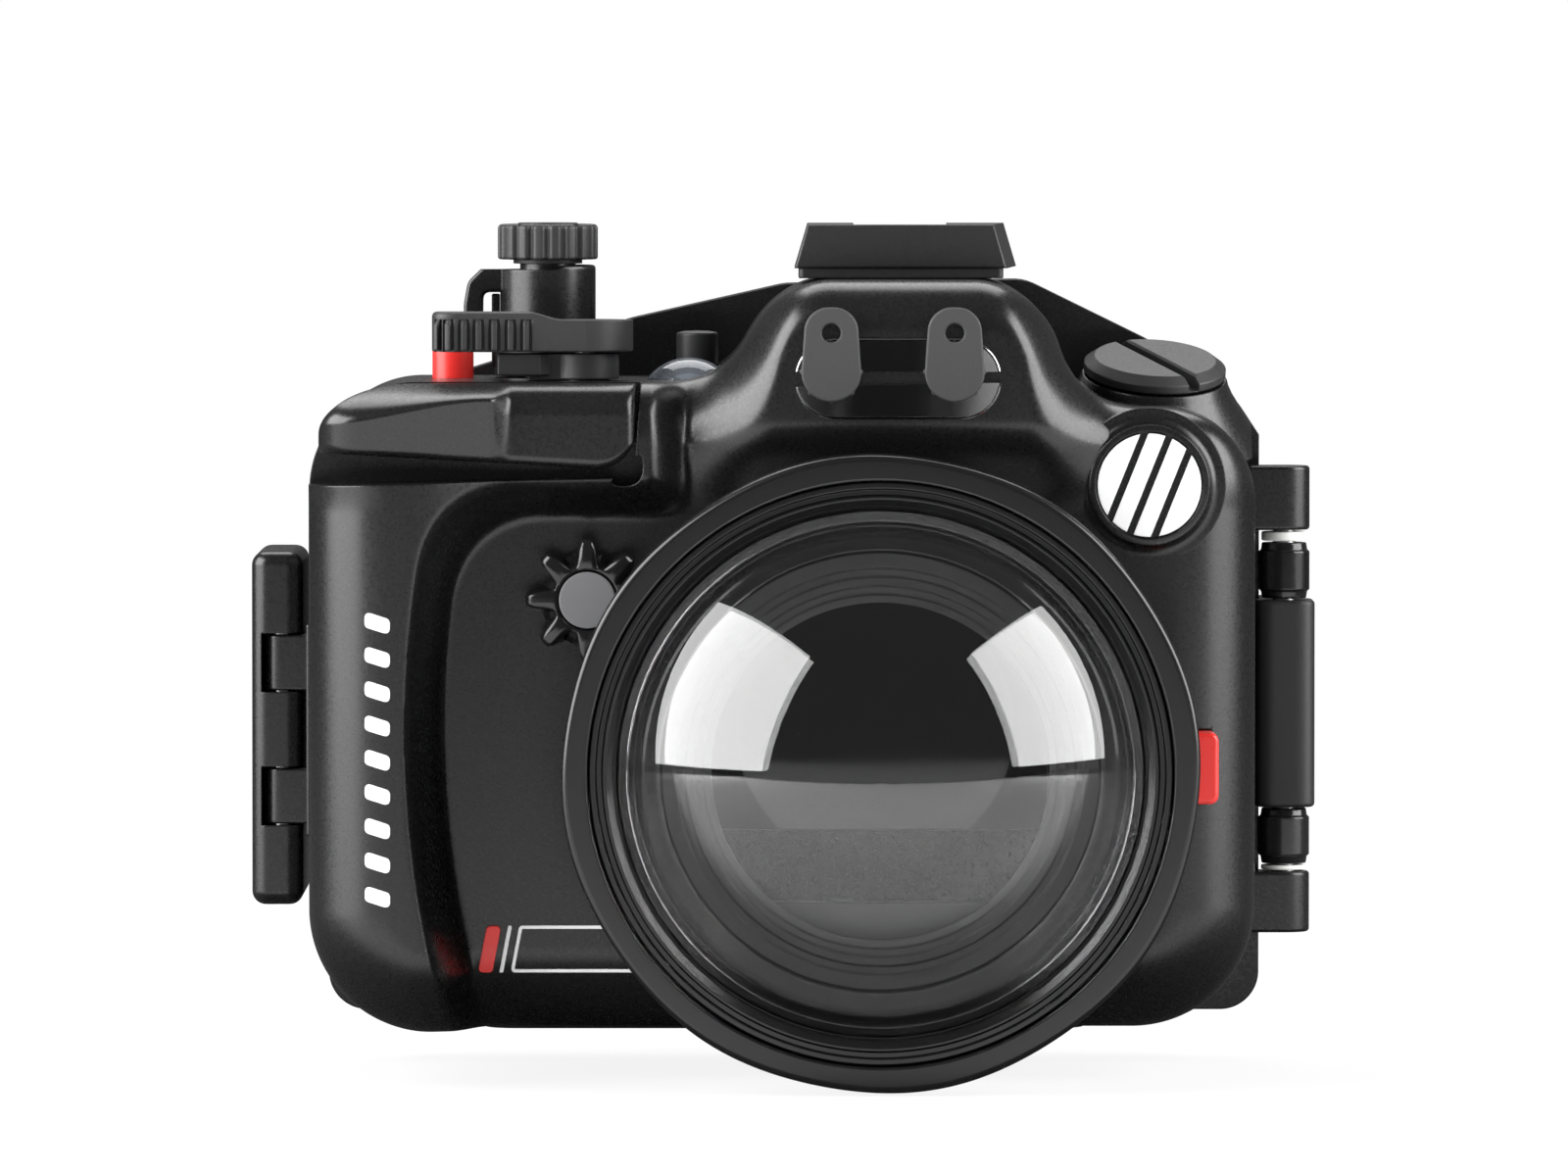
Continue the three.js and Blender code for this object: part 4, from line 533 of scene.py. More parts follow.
def shell_distance(x, z):
    """Distance from the outline, negative inside: two rounded boxes for the two deck heights, and
    the flared hump on them with a hollow curve at its foot."""
    middle = (SHELL["bottom"] + SHELL["deck_right"]) / 2
    corner = SHELL["corner_low"]
    left = box_distance(x, z, SHELL["left"], HUMP["x"] + corner, SHELL["bottom"], SHELL["deck_left"],
                        np.where(z < middle, corner, SHELL["corner_left"]))
    right = box_distance(x, z, HUMP["x"] - corner, SHELL["right"], SHELL["bottom"], SHELL["deck_right"],
                         np.where(z < middle, corner, SHELL["corner_right"]))
    shoulder = HUMP["top"] - HUMP["round"]
    flare = HUMP["half"] + HUMP["flare"] * np.minimum(shoulder - z, shoulder - SHELL["deck_right"] + 5)
    qx = (np.abs(x - HUMP["x"]) - flare) / math.hypot(1, HUMP["flare"]) + HUMP["round"]
    qz = np.maximum(z - HUMP["top"], 13 - z) + HUMP["round"]
    hump = corner_distance(qx, qz, HUMP["round"])
    return soft_min(np.minimum(left, right), hump, HUMP["blend"])


def relief(x, z):
    """How far the face stands forward: the grip's bulge with its bowed inner slope and the stepped
    band under the finger shelf, and the front of the hump."""
    slope = GRIP["slope"]
    valley = GRIP["valley"] + GRIP["bow"] * (z - GRIP["height"]) ** 2
    from_panel = -soft_min(x - valley, BAND["z"] - z, GRIP["corner"])
    beside = eased(GRIP["valley"] + 2 * slope, GRIP["valley"] - slope, x)
    reach = BAND["reach"] + (GRIP["reach"] - BAND["reach"]) * beside
    grip = reach * eased(BAND["end"] + slope, BAND["end"], x) * eased(0, slope, from_panel)
    half = np.minimum(HUMP["front_half"] + HUMP["front_flare"] * (HUMP["front_z"] - z), HUMP["front_most"])
    soft = HUMP["blend"] / 2 + np.clip(0.35 * (HUMP["front_z"] - z), 0, 5)
    across = eased(half + soft, half - soft, np.abs(x - HUMP["x"]))
    lift = eased(HUMP["foot"] - HUMP["blend"], HUMP["foot"] + HUMP["blend"] / 2, z)
    return np.maximum(grip, 0) + HUMP["reach"] * across * lift


def quarter_fall(inside, radius):
    """Fall of a quarter-round edge at a distance inside the outline."""
    near = np.maximum(radius - np.maximum(inside, 0), 0)
    return radius - np.sqrt(np.maximum(radius ** 2 - near ** 2, 0))


def front_depth(x, z):
    """Depth of the front face: the face less its relief, fallen back by a quarter round at the outline,
    whose radius eases from a large one low down to a small one at the deck."""
    large, small = SHELL["edge_low"], SHELL["edge_deck"]
    radius = large + (small - large) * eased(SHELL["deck_right"] - 18, SHELL["deck_right"], z)
    return FACE_Y - relief(x, z) + quarter_fall(-shell_distance(x, z), radius)


def edge_height(x, up):
    """Height of the outline over each place of the width, found by halving."""
    inner = np.full_like(x, (SHELL["bottom"] + SHELL["deck_right"]) / 2)
    outer = np.full_like(x, HUMP["top"] + 2 if up else SHELL["bottom"] - 2)
    for halving in range(40):
        middle = (inner + outer) / 2
        inside = shell_distance(x, middle) < 0
        inner, outer = np.where(inside, middle, inner), np.where(inside, outer, middle)
    return inner


def spread(count):
    """Shares from 0 to 1 that lie closer together near both ends."""
    return (1 - np.cos(np.linspace(0, math.pi, count + 1))) / 2


def faced(left, right, columns, rows, low, high):
    """Places in the front view: columns from left to right, each from its lower to its upper edge."""
    x = left + (right - left) * spread(columns)
    low, high = low(x), high(x)
    z = low[:, None] + (high - low)[:, None] * spread(rows)[None]
    return np.broadcast_to(x[:, None], z.shape), z


def casting_block():
    """The casting's outline, filled from its shaped front to the flat parting face."""
    left, right, inward = SHELL["left"], SHELL["right"], 0.03

    def low(x):
        return edge_height(np.clip(x, left + inward, right - inward), False)

    def high(x):
        return edge_height(np.clip(x, left + inward, right - inward), True)

    x, z = faced(left, right, 330, 210, low, high)
    front = np.stack([x, front_depth(x, z), z], -1)
    back = np.stack([x, np.full_like(x, PARTING_Y), z], -1)
    return slab("casting_front", front, back)


# Vacuum plug's tilted place in the right shoulder
PLUG_PLACE = Matrix.Rotation(math.radians(3.2), 4, "Y") @ Matrix.Rotation(math.radians(16.2), 4, "X")
PLUG_PLACE.translation = Vector((66.6, -1, 116.9)) * MM


def front_land(centre, radius, y, flare):
    """A round land on the front face: a straight side that sweeps out in a hollow quarter at its foot."""
    angle = np.linspace(0, math.pi / 2, 9)
    foot = np.stack([radius + flare * (1 - np.cos(angle)), FACE_Y - flare * (1 - np.sin(angle))], -1)
    root = radius + flare + 1
    rim = [[radius, y + 0.45], [radius - 0.15, y + 0.1], [radius - 0.5, y]]
    profile = np.concatenate([[[0, FACE_Y + 5], [root, FACE_Y + 5], [root, FACE_Y + 0.02]], foot[::-1], rim,
                              [[0, y]]])
    return turned("tool", profile, centre, sides=160)


def through_deck(centre, wide, floor, narrow):
    """A stepped bore: wide from above the deck to its floor, narrow from there into the cavity."""
    return [rod(wide, (floor, ABOVE_DECK), centre), rod(narrow, (UNDER_DECK, floor + 1), centre)]


def pocket_for_shelf():
    """The step in the grip's top that the finger shelf sits in, with one rounded inner corner."""
    shape = np.concatenate([[[-90, 98]], softened([[-31.9, 98], [-24.9, 98], [-24.9, 105]], 7, 12)[3:-3],
                            [[-24.9, 122], [-90, 122]]])
    return plate("tool", shape, (-80, -34), "y", edge=0)


def flash_outline(grow=0.0):
    """The flash window's outline, with all its sides moved out by one length."""
    left, right, low, high = FLASH["left"], FLASH["right"], FLASH["low"], FLASH["high"]
    return boxed(left - grow, right + grow, low - grow, high + grow, (high - low) / 2 + grow, 16)


ABOVE_DECK = 125
UNDER_DECK = 103.5


def casting_front():
    """The front casting: its shaped block with round lands for port and badge and the vacuum boss,
    hollowed for the camera and bored for every control."""
    inside = brick(-84.25, 84.05, -60, PARTING_Y - 0.05, SHELL["bottom"] + 0.3, HUMP["top"] - 0.2)
    hill = [[0, -12], [20.5, -12], [18.2, -9], [16, -6], [14.4, -3.6], [13.5, -1.8], [13.2, -0.8],
            [12.9, -0.35], [0, -0.3]]
    boss = moved(turned("tool", hill, along="z", sides=160), PLUG_PLACE)
    lands = kept(joined(boss, front_land(PORT, 45.4, -40, 3.6), front_land(BADGE, 10.8, -38.2, 1.8)), inside)
    body = joined(casting_block(), lands)
    bores = [
        plate("tool", boxed(-73, 73, 13, 105.5, 13), (-30.58, 30), "y", edges=(2, 0)),
        plate("tool", boxed(HUMP["x"] - 17, HUMP["x"] + 17, 100.5, 127.5, 5), (-30.6, 6), "y", edge=2),
        plate("tool", boxed(-78.5, -66.5, 18, 86, 5), (-44, -24), "y", edge=2),
        pocket_for_shelf(),
        rod(44.3, (-44, -34.1), PORT, "y", 160),
        rod(39.1, (-40, -25), PORT, "y", 160),
        plate("tool", flash_outline(0.35), (-60, FLASH["floor"]), "y", edge=0),
        plate("tool", boxed(12.5, 27.9, 112.3, 121.7, 1.2), (-42, -28), "y", edge=0),
        plate("tool", boxed(-54.3, 54.3, -17.3, 17.3, 6), (-3, 6.3), edge=0),
        *[rod(2.2, (5, 10), centre) for centre in BASE_SCREWS.values()],
        brick(60, 94, -60, -34.3, 41.3, 54.6),
        rod(9.5, (-60, -37.2), BADGE, "y", 96),
        rod(3.3, (-60, -25), ZOOM, "y"),
        *through_deck(TURRET, 6.3, UNDER_DECK, 6.3), *through_deck(PIVOT, 4.7, UNDER_DECK, 4.7),
        *through_deck(VIDEO_BUTTON, 4.0, 113, 1.9), *through_deck(TOP_BUTTON, 4.1, 113, 1.9),
        *through_deck(STATUS_LIGHT, 7.7, 112.1, 3.0),
        moved(rod(6.3, (-8.3, 4), (0, 0)), PLUG_PLACE), moved(rod(3.5, (-18, -7), (0, 0)), PLUG_PLACE),
        *[rod(1.5, (130, 140), centre) for centre in SHOE_SCREWS.values()],
    ]
    return cut(body, *bores)


seat(casting_front(), "front_body", "paint", "front_shell")


# Port: body, dome, clamp ring, seals and baffle
SCALLOPS = 8
SCALLOP_PHASE = 0.25
SCALLOP_DEPTH = 0.42


def port_scallops(angle, height, radius):
    """Shallow grip hollows: the radius is lessened by the scallop depth times half of 1 + cos(8 a) at the
    angle a. They fade towards the inside of the rim and towards the waist."""
    turn = angle / TURN * SCALLOPS + SCALLOP_PHASE
    hollow = SCALLOP_DEPTH * (1 + np.cos(turn * TURN)) / 2
    return hollow * eased(50.5, 56.3, radius) * eased(-44, -54, height)


def port_sectors(middles, half, outer, inner, heights, edge):
    """Pieces of a ring round the port's axis, each by its middle angle and half its width in degrees."""
    pieces = []
    for middle in np.radians(middles):
        across = np.linspace(middle - math.radians(half), middle + math.radians(half), 17)
        ray = np.stack([np.cos(across), np.sin(across)], -1)
        loop = np.concatenate([outer * ray, inner * ray[::-1]]) + PORT
        pieces.append(plate("tool", loop, heights, "y", edge=edge, steps=2))
    return pieces


def port_body():
    """The turned body: a neck with a seal groove, a waist, a flange that flares to the grip rim, and
    stepped recesses in front for the dome and inside for the baffle."""
    outer = [[31.4, -30.8], [36.2, -30.8], [36.2, -36.3], [34.2, -36.3], [34.2, -38.9], [36.2, -38.9],
             [36.2, -40.3], [46, -40.3], [46, -47], [52, -51.5], [56.3, -56.5], [56.3, -66], [51.6, -66],
             [51.6, -60.4], [50.3, -60.4], [50.3, -59], [48.5, -59], [48.5, -60.4], [47.3, -60.4],
             [47.3, -60], [44.6, -60], [42.1, -56.4], [38, -56.4], [38, -51.4], [31.4, -46.4]]
    rounds = [0.3, 0.4, 0.15, 0.15, 0.15, 0.15, 0.3, 0.8, 2.5, 3, 2.4, 1.3, 0.5,
              0.3, 0.15, 0.15, 0.15, 0.15, 0.15, 0.1, 0.6, 0.5, 0.4, 0.4, 1]
    body = turned("port_body_turned", softened(outer, rounds, 6), PORT, sides=320, ring=True,
                  scallop=port_scallops, crease=40)
    return joined(body, *port_sectors([90, 210, 330], 16, 38.5, 34, (-34.1, -31.1), 0.25), crease=40)


def dome_window():
    """The dome: two spherical skins 4 mm apart that end on a flat foot ring."""
    outside, inside, foot_outside, foot_inside = 52, 48, 46.6, 42.6
    centre = -60.6 + math.sqrt(outside ** 2 - foot_outside ** 2) - 1
    outer = np.linspace(0.0015, math.asin(foot_outside / outside), 72)
    inner = np.linspace(math.asin(foot_inside / inside), 0.0015, 64)
    profile = np.concatenate([
        np.stack([outside * np.sin(outer), centre - outside * np.cos(outer)], -1),
        [[foot_outside, -60.32], [foot_inside, -60.32]],
        np.stack([inside * np.sin(inner), centre - inside * np.cos(inner)], -1)])
    return turned("dome_window", profile, PORT, sides=192, crease=45)


def clamp_ring():
    """The ring that holds the dome: a sloping front with fine steps."""
    corners = [[47, -60.7], [51.3, -60.7], [51.3, -63.9], [50.2, -63.9], [49.9, -63.3], [49.1, -63.3],
               [48.8, -63.9], [48.3, -63.9], [47, -62.6]]
    profile = softened(corners, [0.1, 0.1, 0.3, 0.2, 0.1, 0.1, 0.2, 0.2, 0.4], 4)
    return turned("dome_clamp", profile, PORT, sides=256, ring=True, crease=40)


def round_seal(name, radius, thick, y):
    """A ring round the port's axis with a round section: its middle radius, and half its thickness."""
    path = upright(circle(PORT, radius, 160), np.full(160, y), "y")
    return swept(name, path, circle((0, 0), thick, 20))


def baffle():
    """The light baffle round the lens: a thin matt ring with stepped grooves that stop stray light."""
    profile = [[29.4, -56.1], [30.6, -56.1], [31, -55.6], [32, -55.6], [32.4, -56.1], [33.6, -56.1],
               [34, -55.6], [35, -55.6], [35.4, -56.1], [37.7, -56.1], [37.7, -51.7], [36, -51.7],
               [36, -54.7], [29.4, -54.7]]
    return turned("stray_light_ring", softened(profile, 0.15, 3), PORT, sides=192, ring=True, crease=40)


def mount_ring():
    """The bayonet ring in the casting, with three wide slots for the port's lugs."""
    profile = softened([[36.5, -40], [44, -40], [44, -34.4], [36.5, -34.4]], [0.5, 0.3, 0.3, 0.3], 4)
    ring = turned("bayonet_ring", profile, PORT, sides=256, ring=True)
    return cut(ring, *port_sectors([130, 250, 370], 17.6, 39.1, 35, (-43, -31), 0))


seat(port_body(), "port", "turned", "port_body")
seat(dome_window(), "port", "dome", "dome")
seat(clamp_ring(), "port", "turned", "dome_clamp_ring")
seat(round_seal("neck_seal", 35.3, 0.78, -37.6), "port", "seal", "port_oring")
seat(round_seal("dome_seal", 49.4, 0.6, -59.7), "port", "seal", "dome_oring")
seat(baffle(), "port", "polymer", "lens_baffle")
seat(mount_ring(), "front_body", "turned", "port_mount_ring")


# Finger shelf on the grip
SHELF = {"left": -82.4, "right": -26.3, "top": 116, "corner": 7, "shoulder": 17, "low_left": 104,
         "low_right": 100.8, "high_left": 103.4, "ridge_left": 109, "ridge_right": 113.2, "scoop": -50,
         "brim": -46.5, "scoop_end": -52, "flat_start": -48, "rim": 1.6, "thinnest": -34.6, "back": -34.3}


def finger_shelf():
    """The sculpted shelf: a scoop under a ridge on the left, a flat front on the right with a brim
    at its top, and all its rims rounded by the distance to its outline."""
    left, right, corner, top = SHELF["left"], SHELF["right"], SHELF["corner"], SHELF["top"]
    shoulder, scoop_end = SHELF["shoulder"], SHELF["scoop_end"]

    def low(x):
        into = np.maximum(x - right + corner, 0)
        rise = corner - np.sqrt(np.maximum(corner ** 2 - into ** 2, 0))
        return SHELF["low_left"] + (SHELF["low_right"] - SHELF["low_left"]) * (x - left) / (right - left) + rise

    def high(x):
        into = np.maximum(left + shoulder - x, 0)
        drop = (top - SHELF["high_left"] - corner / 2) / shoulder
        return top - drop * (shoulder - np.sqrt(np.maximum(shoulder ** 2 - into ** 2, 0)))

    x, z = faced(left, right, 220, 120, low, high)
    ridge = SHELF["ridge_left"] + (SHELF["ridge_right"] - SHELF["ridge_left"]) * eased(left, scoop_end, x)
    above = np.maximum(z - ridge, 0) / (top - ridge + FIT)
    below = np.maximum(ridge - z, 0) * 0.22
    scoop = SHELF["scoop"] + below + (FACE_Y - SHELF["scoop"] - FIT) * above * above
    brim = SHELF["brim"] + quarter_fall(top - z, 5.5)
    front = scoop + (brim - scoop) * eased(scoop_end, SHELF["flat_start"], x)
    front += quarter_fall(x - left, 7.5) + 0.16 * quarter_fall(right - x, corner)
    inset = np.minimum(np.minimum(z - low(x), (high(x) - z) * 0.8 + 0.4), right - x)
    front = np.minimum(front + quarter_fall(inset, SHELF["rim"]), SHELF["thinnest"])
    back = np.full_like(x, SHELF["back"])
    return slab("finger_shelf", np.stack([x, front, z], -1), np.stack([x, back, z], -1))


seat(finger_shelf(), "front_body", "paint", "grip_shelf")


# Round parts shared by the controls
def post(name, radius, heights, centre, along="z", edge=0.3, sides=96):
    """A round post with rounded rims: one edge size, or one for each end."""
    low, high = heights
    low_edge, high_edge = edge if isinstance(edge, tuple) else (edge, edge)
    corners = [[0, low], [radius, low], [radius, high], [0, high]]
    return turned(name, softened(corners, [0, low_edge, high_edge, 0], 5, False), centre, along, sides)


def sleeve(name, profile, centre, along="z", rounds=0.2, sides=96):
    """A turned piece with a hole: its closed profile's corners are softened."""
    return turned(name, softened(profile, rounds, 4), centre, along, sides, ring=True)


def ribbed(radius, ribs, depth, centre, sharp=3.0, sides=8):
    """A knob's outline: round, with narrow grooves between its ribs."""
    angle = np.arange(ribs * 4 * sides) * TURN / (ribs * 4 * sides)
    groove = ((1 - np.cos(ribs * angle)) / 2) ** sharp
    return arc(centre, radius - depth * groove, angle)


def hexagon(radius, heights, centre):
    """A tool for a screw's hexagon hole: a circle of six points, carried up."""
    return plate("tool", circle(centre, radius, 6), heights, edge=0)


def screw(name, head, head_heights, shank, far, centre):
    """A socket screw: a head with a hexagon hole below and a shank with shallow threads above."""
    low, high = head_heights
    pitch = 0.7
    ridges = int((far - low - 1.5) / pitch)
    threads = [[shank - 0.22 * (n % 2), high + 0.6 + n * pitch / 2] for n in range(2 * ridges)]
    stem = [[0, high - 0.2], [shank, high - 0.2], *threads, [shank - 0.4, far], [0, far]]
    body = joined(post(name, head, head_heights, centre, edge=0.25, sides=64),
                  turned("tool", stem, centre, "z", 48))
    return cut(body, hexagon(0.45 * head, (low - 1, low + 1.2), centre))


# Flash window and the two rubber plugs in it
def flash_window():
    """The clear moulding: a flat front with a fine rounded rim, two sockets and a dished back over the
    flash."""
    front, back = FLASH["front"], FLASH["floor"] - FIT
    body = plate("flash_cover", flash_outline(), (front, back), "y", edges=(0.55, 0.3), steps=7)
    sockets = [post("tool", 3.2, (front - 1, front + 4.3), (x, PLUG_Z), "y", 0.2) for x in PLUG_X]
    dish = plate("tool", boxed(14.6, 25.4, 112.6, 121.4, 3), (front + 1.6, FLASH["floor"] + 1), "y",
                 edges=(1.4, 0))
    return cut(body, *sockets, dish)


def fibre_plug(name, x):
    """A rubber plug: a pull tab that widens into a round cap with small nubs round it, and a stem."""
    middle = (x, PLUG_Z)
    eye = (x, 125.2)
    cap = arc(middle, 5.3, np.radians(np.linspace(172, 368, 45)))
    corner = np.radians(np.linspace(0, 90, 12))
    right = arc((x + 0.5, 125.4), 4.3, corner)
    left = np.stack([x - 0.5 - 4.3 * np.cos(corner), 125.4 + 4.3 * np.sin(corner)], -1)[::-1]
    tab = plate(name, np.concatenate([cap, right, left]), (-48.4, -46.6), "y", edges=(0.45, 0.3))
    mouth = [[1.2, -49], [2.4, -49], [1.65, -48.1], [1.65, -46.9], [2.4, -46], [1.2, -46]]
    tab = cut(tab, sleeve("tool", mouth, eye, "y", 0.1, 48), rod(1.3, (-50, -45), eye, "y"))
    nubs = [post("tool", 0.5, (-46.9, -45.6), place, "y", 0.3, 20) for place in circle(middle, 5.1, 8)]
    return joined(tab, post("tool", 5.2, (-47.2, -45.5), middle, "y", 0.3),
                  post("tool", 2.9, (-45.8, -41.2), middle, "y", 0.4), *nubs)


seat(flash_window(), "front_body", "clear", "flash_window")
for side, x in zip(("left", "right"), PLUG_X):
    seat(fibre_plug(f"fibre_port_plug_{side}", x), f"fibre_{side}", "rubber", f"fibre_plug_{side}")


# Zoom knob with its cap and pinion, badge and port lock
def zoom_knob():
    """A star wheel: eight narrow arms with blunt ends run out from the hub, and the hub falls back
    between them into scoops. An arm is full within 0.5 mm of its middle line and gone 2.9 mm from it."""
    angle = np.arange(768) * TURN / 768
    away = (angle * 8 / TURN - np.round(angle * 8 / TURN)) * TURN / 8
    arm = eased(2.9, 0.5, 9 * np.abs(away))
    rows = [(5.5, 0, -45.35, 0), (5.9, 0, -45.45, 0), (6.3, 3.4, -45.3, 0.3), (6.6, 3.9, -44.9, 1.0),
            (7.0, 3.9, -44.3, 2.0), (7.6, 3.3, -43.6, 2.5), (8.2, 2.75, -42.8, 2.2), (8.3, 2.7, -41.5, 1.2),
            (8.3, 2.7, -38.4, 0), (7.9, 2.6, -37.6, 0), (2.7, 0, -37.5, 0), (2.7, 0, -43.5, 0),
            (5.3, 0, -43.6, 0), (5.3, 0, -45.2, 0)]
    grid = [upright(arc(ZOOM, radius + reach * arm, angle), depth + scoop * (1 - arm), "y")
            for radius, reach, depth, scoop in rows]
    return skin("zoom_star_knob", np.array(grid), ring=True, crease=60)


def pinion():
    """The steel shaft through the wall with its toothed wheel."""
    teeth = 16
    angle = np.concatenate([[n, n + 0.22, n + 0.36, n + 0.64, n + 0.78] for n in range(teeth)]) * TURN / teeth
    loop = arc(ZOOM, np.tile([5.9, 5.9, 7.0, 7.0, 5.9], teeth), angle)
    wheel = plate("zoom_pinion", loop, (-19, -14), "y", edge=0.15, steps=2)
    return joined(wheel, post("tool", 2.4, (-43.5, -12), ZOOM, "y"), post("tool", 4, (-20, -13.2), ZOOM, "y"))


def front_badge():
    """Four slanted white bands that make up a disc, with thin gaps between them."""
    lean = Matrix.Rotation(math.radians(-68), 4, "Y")
    slots = [moved(brick(-12, 12, -40, -37, -0.65, 0.65),
                   Matrix.Translation(Vector((BADGE[0] + shift, 0, BADGE[1])) * MM) @ lean)
             for shift in (-4.6, 0, 4.6)]
    return cut(post("round_badge", 9.2, (-38.1, -37.5), BADGE, "y", 0.15), *slots)


seat(zoom_knob(), "zoom", "gloss", "zoom_knob")
seat(post("zoom_cap", 5.0, (-45.6, -44.1), ZOOM, "y", (0.2, 0.1)), "zoom", "disc", "zoom_knob_disc")
seat(pinion(), "zoom", "steel", "zoom_shaft")
seat(front_badge(), "front_body", "white", "badge_disc")
seat(plate("lock_slide", boxed(64.5, 77, 41.6, 54.3, 1.6), (-42.6, -34.6), "y", edges=(0.8, 0.3)),
     "ring_lock", "red", "port_lock")


# Vacuum plug
def vacuum_plug():
    """A low round head with a bevelled rim and a coin slot, over its spigot."""
    profile = softened([[0, -8], [6, -8], [6, 0], [12.5, 0], [12.8, 0.3], [12.8, 1.6], [10.9, 3], [0, 3]],
                       [0, 0.4, 0.1, 0.1, 0.1, 0.35, 0.35, 0], 5, False)
    body = turned("vacuum_port_plug", profile, along="z", sides=192)
    slot = plate("tool", [[-1.1, 0.4], [1.1, 0.4], [1.1, 2.6], [1.55, 3.05], [1.55, 5], [-1.55, 5],
                          [-1.55, 3.05], [-1.1, 2.6]], (-15, 15), "x", edge=0)
    return moved(cut(body, moved(slot, Matrix.Rotation(math.radians(-57), 4, "Z"))), PLUG_PLACE)


seat(vacuum_plug(), "vacuum", "polymer", "vacuum_plug")


# Shutter lever with its bush and shaft
LEVER_RIBS = (-61.6, -59.7, -56.9, -54.3, -51.5, -48.6, -45.8)
FINGER_END = (-57.9, -25.2)


def lever_outline():
    """The lever's plan: a round hub, a straight arm and a rounded finger end."""
    hub = arc(PIVOT, 8.6, np.radians(np.linspace(-90, 170, 60)))
    arm = softened([[-46, -20.5], [-62.7, -20.5], [-62.7, -29.9], [-50, -29.9]], [0, 2.4, 4.8, 0], 14, False)
    return np.concatenate([hub, arm])


def rib_places():
    """Where the ribs stand on the arm's front: straight along it, and turned round the finger end."""
    front = finer(lever_outline(), 0.1)
    front = front[front[:, 1] < -25]
    for x in LEVER_RIBS:
        near = front[np.argmin(np.abs(front[:, 0] - x))]
        turn = -math.pi / 2
        if x < FINGER_END[0]:
            turn = math.atan2(near[1] - FINGER_END[1], near[0] - FINGER_END[0])
        yield Matrix.Translation(Vector((*near, 0)) * MM) @ Matrix.Rotation(turn - math.pi / 2, 4, "Z")


def shutter_lever():
    """The lever: its arm steps down in an S to the hub, seven narrow ribs stand on its front and a low
    cap covers the hub."""
    body = plate("shutter_arm", lever_outline(), (121.4, 128.5), edges=(0.4, 0.8))
    fall = np.linspace(0, 1, 17)
    curve = np.stack([-46 + 6.5 * fall, 128.5 - 1.5 * eased(0, 1, fall)], -1)
    over = np.concatenate([curve, [[-20, 127], [-20, 131], [-46, 131]]])
    body = cut(body, plate("tool", over, (-40, -10), "y", edge=0))
    ribs, grooves = [], []
    for place in rib_places():
        rib = softened([[-0.5, 121.7], [0.65, 121.7], [0.65, 126.2], [-0.5, 127.6]], 0.15, 3)
        ribs.append(moved(plate("tool", rib, (-0.5, 0.5), "x", edge=0.2, steps=2), place))
        groove = [[-0.5, 120], [1, 120], [1, 126.9], [-0.5, 127.3]]
        grooves.append(moved(plate("tool", groove, (-1.0, 1.0), "x", edge=0), place))
    cap = post("tool", 6, (126.5, 127.9), PIVOT, edge=(0, 0.5))
    return cut(joined(cut(body, *grooves), *ribs, cap), rod(2, (119, 126), PIVOT))


def shutter_bush():
    """The bush under the lever, with the stop block that the arm rests against."""
    stop = softened([[-51, -28.1], [-43.5, -28.1], [-41.8, -26.4], [-41.8, -17.6], [-51, -17.6]], 0.4, 3)
    body = joined(post("lever_bush", 6.1, (116.5, 121.1), PIVOT),
                  plate("tool", stop, (117.2, 121.1), edge=0.3),
                  brick(-45.5, -35.5, -26.4, -17.6, 116.5, 121), post("tool", 4.4, (105.5, 118.2), PIVOT))
    return cut(body, rod(2.3, (100, 125), PIVOT))


def shutter_shaft():
    """The lever's shaft through the deck, with the finger that reaches the camera's release."""
    corners = [[-46.5, -23.6], [-35.5, -24], [-35.5, -20], [-46.5, -20.4]]
    finger = plate("shutter_finger", softened(corners, [1.4, 0, 0, 1.4], 8), (98, 101), edge=0.3)
    return joined(finger, post("tool", 4, (98, 101.2), PIVOT),
                  post("tool", 1.7, (98, 125), PIVOT, edge=(0.2, 0.4)))


seat(shutter_lever(), "shutter", "polymer", "shutter_lever")
seat(shutter_bush(), "front_body", "polymer", "shutter_bush")
seat(shutter_shaft(), "shutter", "steel", "shutter_shaft")


# Mode dial's turret, knob and shaft, and the power lever round the turret
def dial_turret():
    """The turret: a wide foot, a neck that the lever turns on and a small stop beside it."""
    profile = softened([[3.1, 105.5], [6, 105.5], [6, 116.5], [9.6, 116.5], [9.6, 123.4], [5, 123.4],
                        [5, 137], [3.1, 137]], [0.1, 0.3, 0.1, 0.3, 0.7, 0.3, 0.3, 0.1], 4)
    body = turned("turret_foot", profile, TURRET, "z", 128, ring=True)
    stop = softened([[-52.6, 1], [-51.15, 1], [-51.15, 3], [-52.6, 3]], 0.3, 4)
    return joined(body, plate("tool", stop, (118, 131.2), edge=0.3))


def mode_knob():
    """The ribbed knob: eighteen ribs, a rounded top rim and a shallow disc on top."""
    body = plate("ribbed_knob", ribbed(9, 18, 0.75, TURRET), (137.4, 143.75), edges=(0.5, 0.8), steps=5)
    flange = sleeve("tool", [[5.25, 136.65], [6.2, 136.65], [6.2, 137.8], [5.25, 137.8]], TURRET, rounds=0.1)
    body = joined(body, flange, post("tool", 5.4, (143, 144), TURRET, edge=(0, 0.2)))
    return cut(body, rod(3.1, (137, 142), TURRET))


def mode_shaft():
    """The knob's shaft through the turret, with its ribbed friction wheel."""
    wheel = plate("friction_wheel", ribbed(6, 36, 0.3, TURRET, 1.0, 2), (98, 102), edge=0.3)
    return joined(wheel, post("tool", 2.8, (98, 141.7), TURRET))


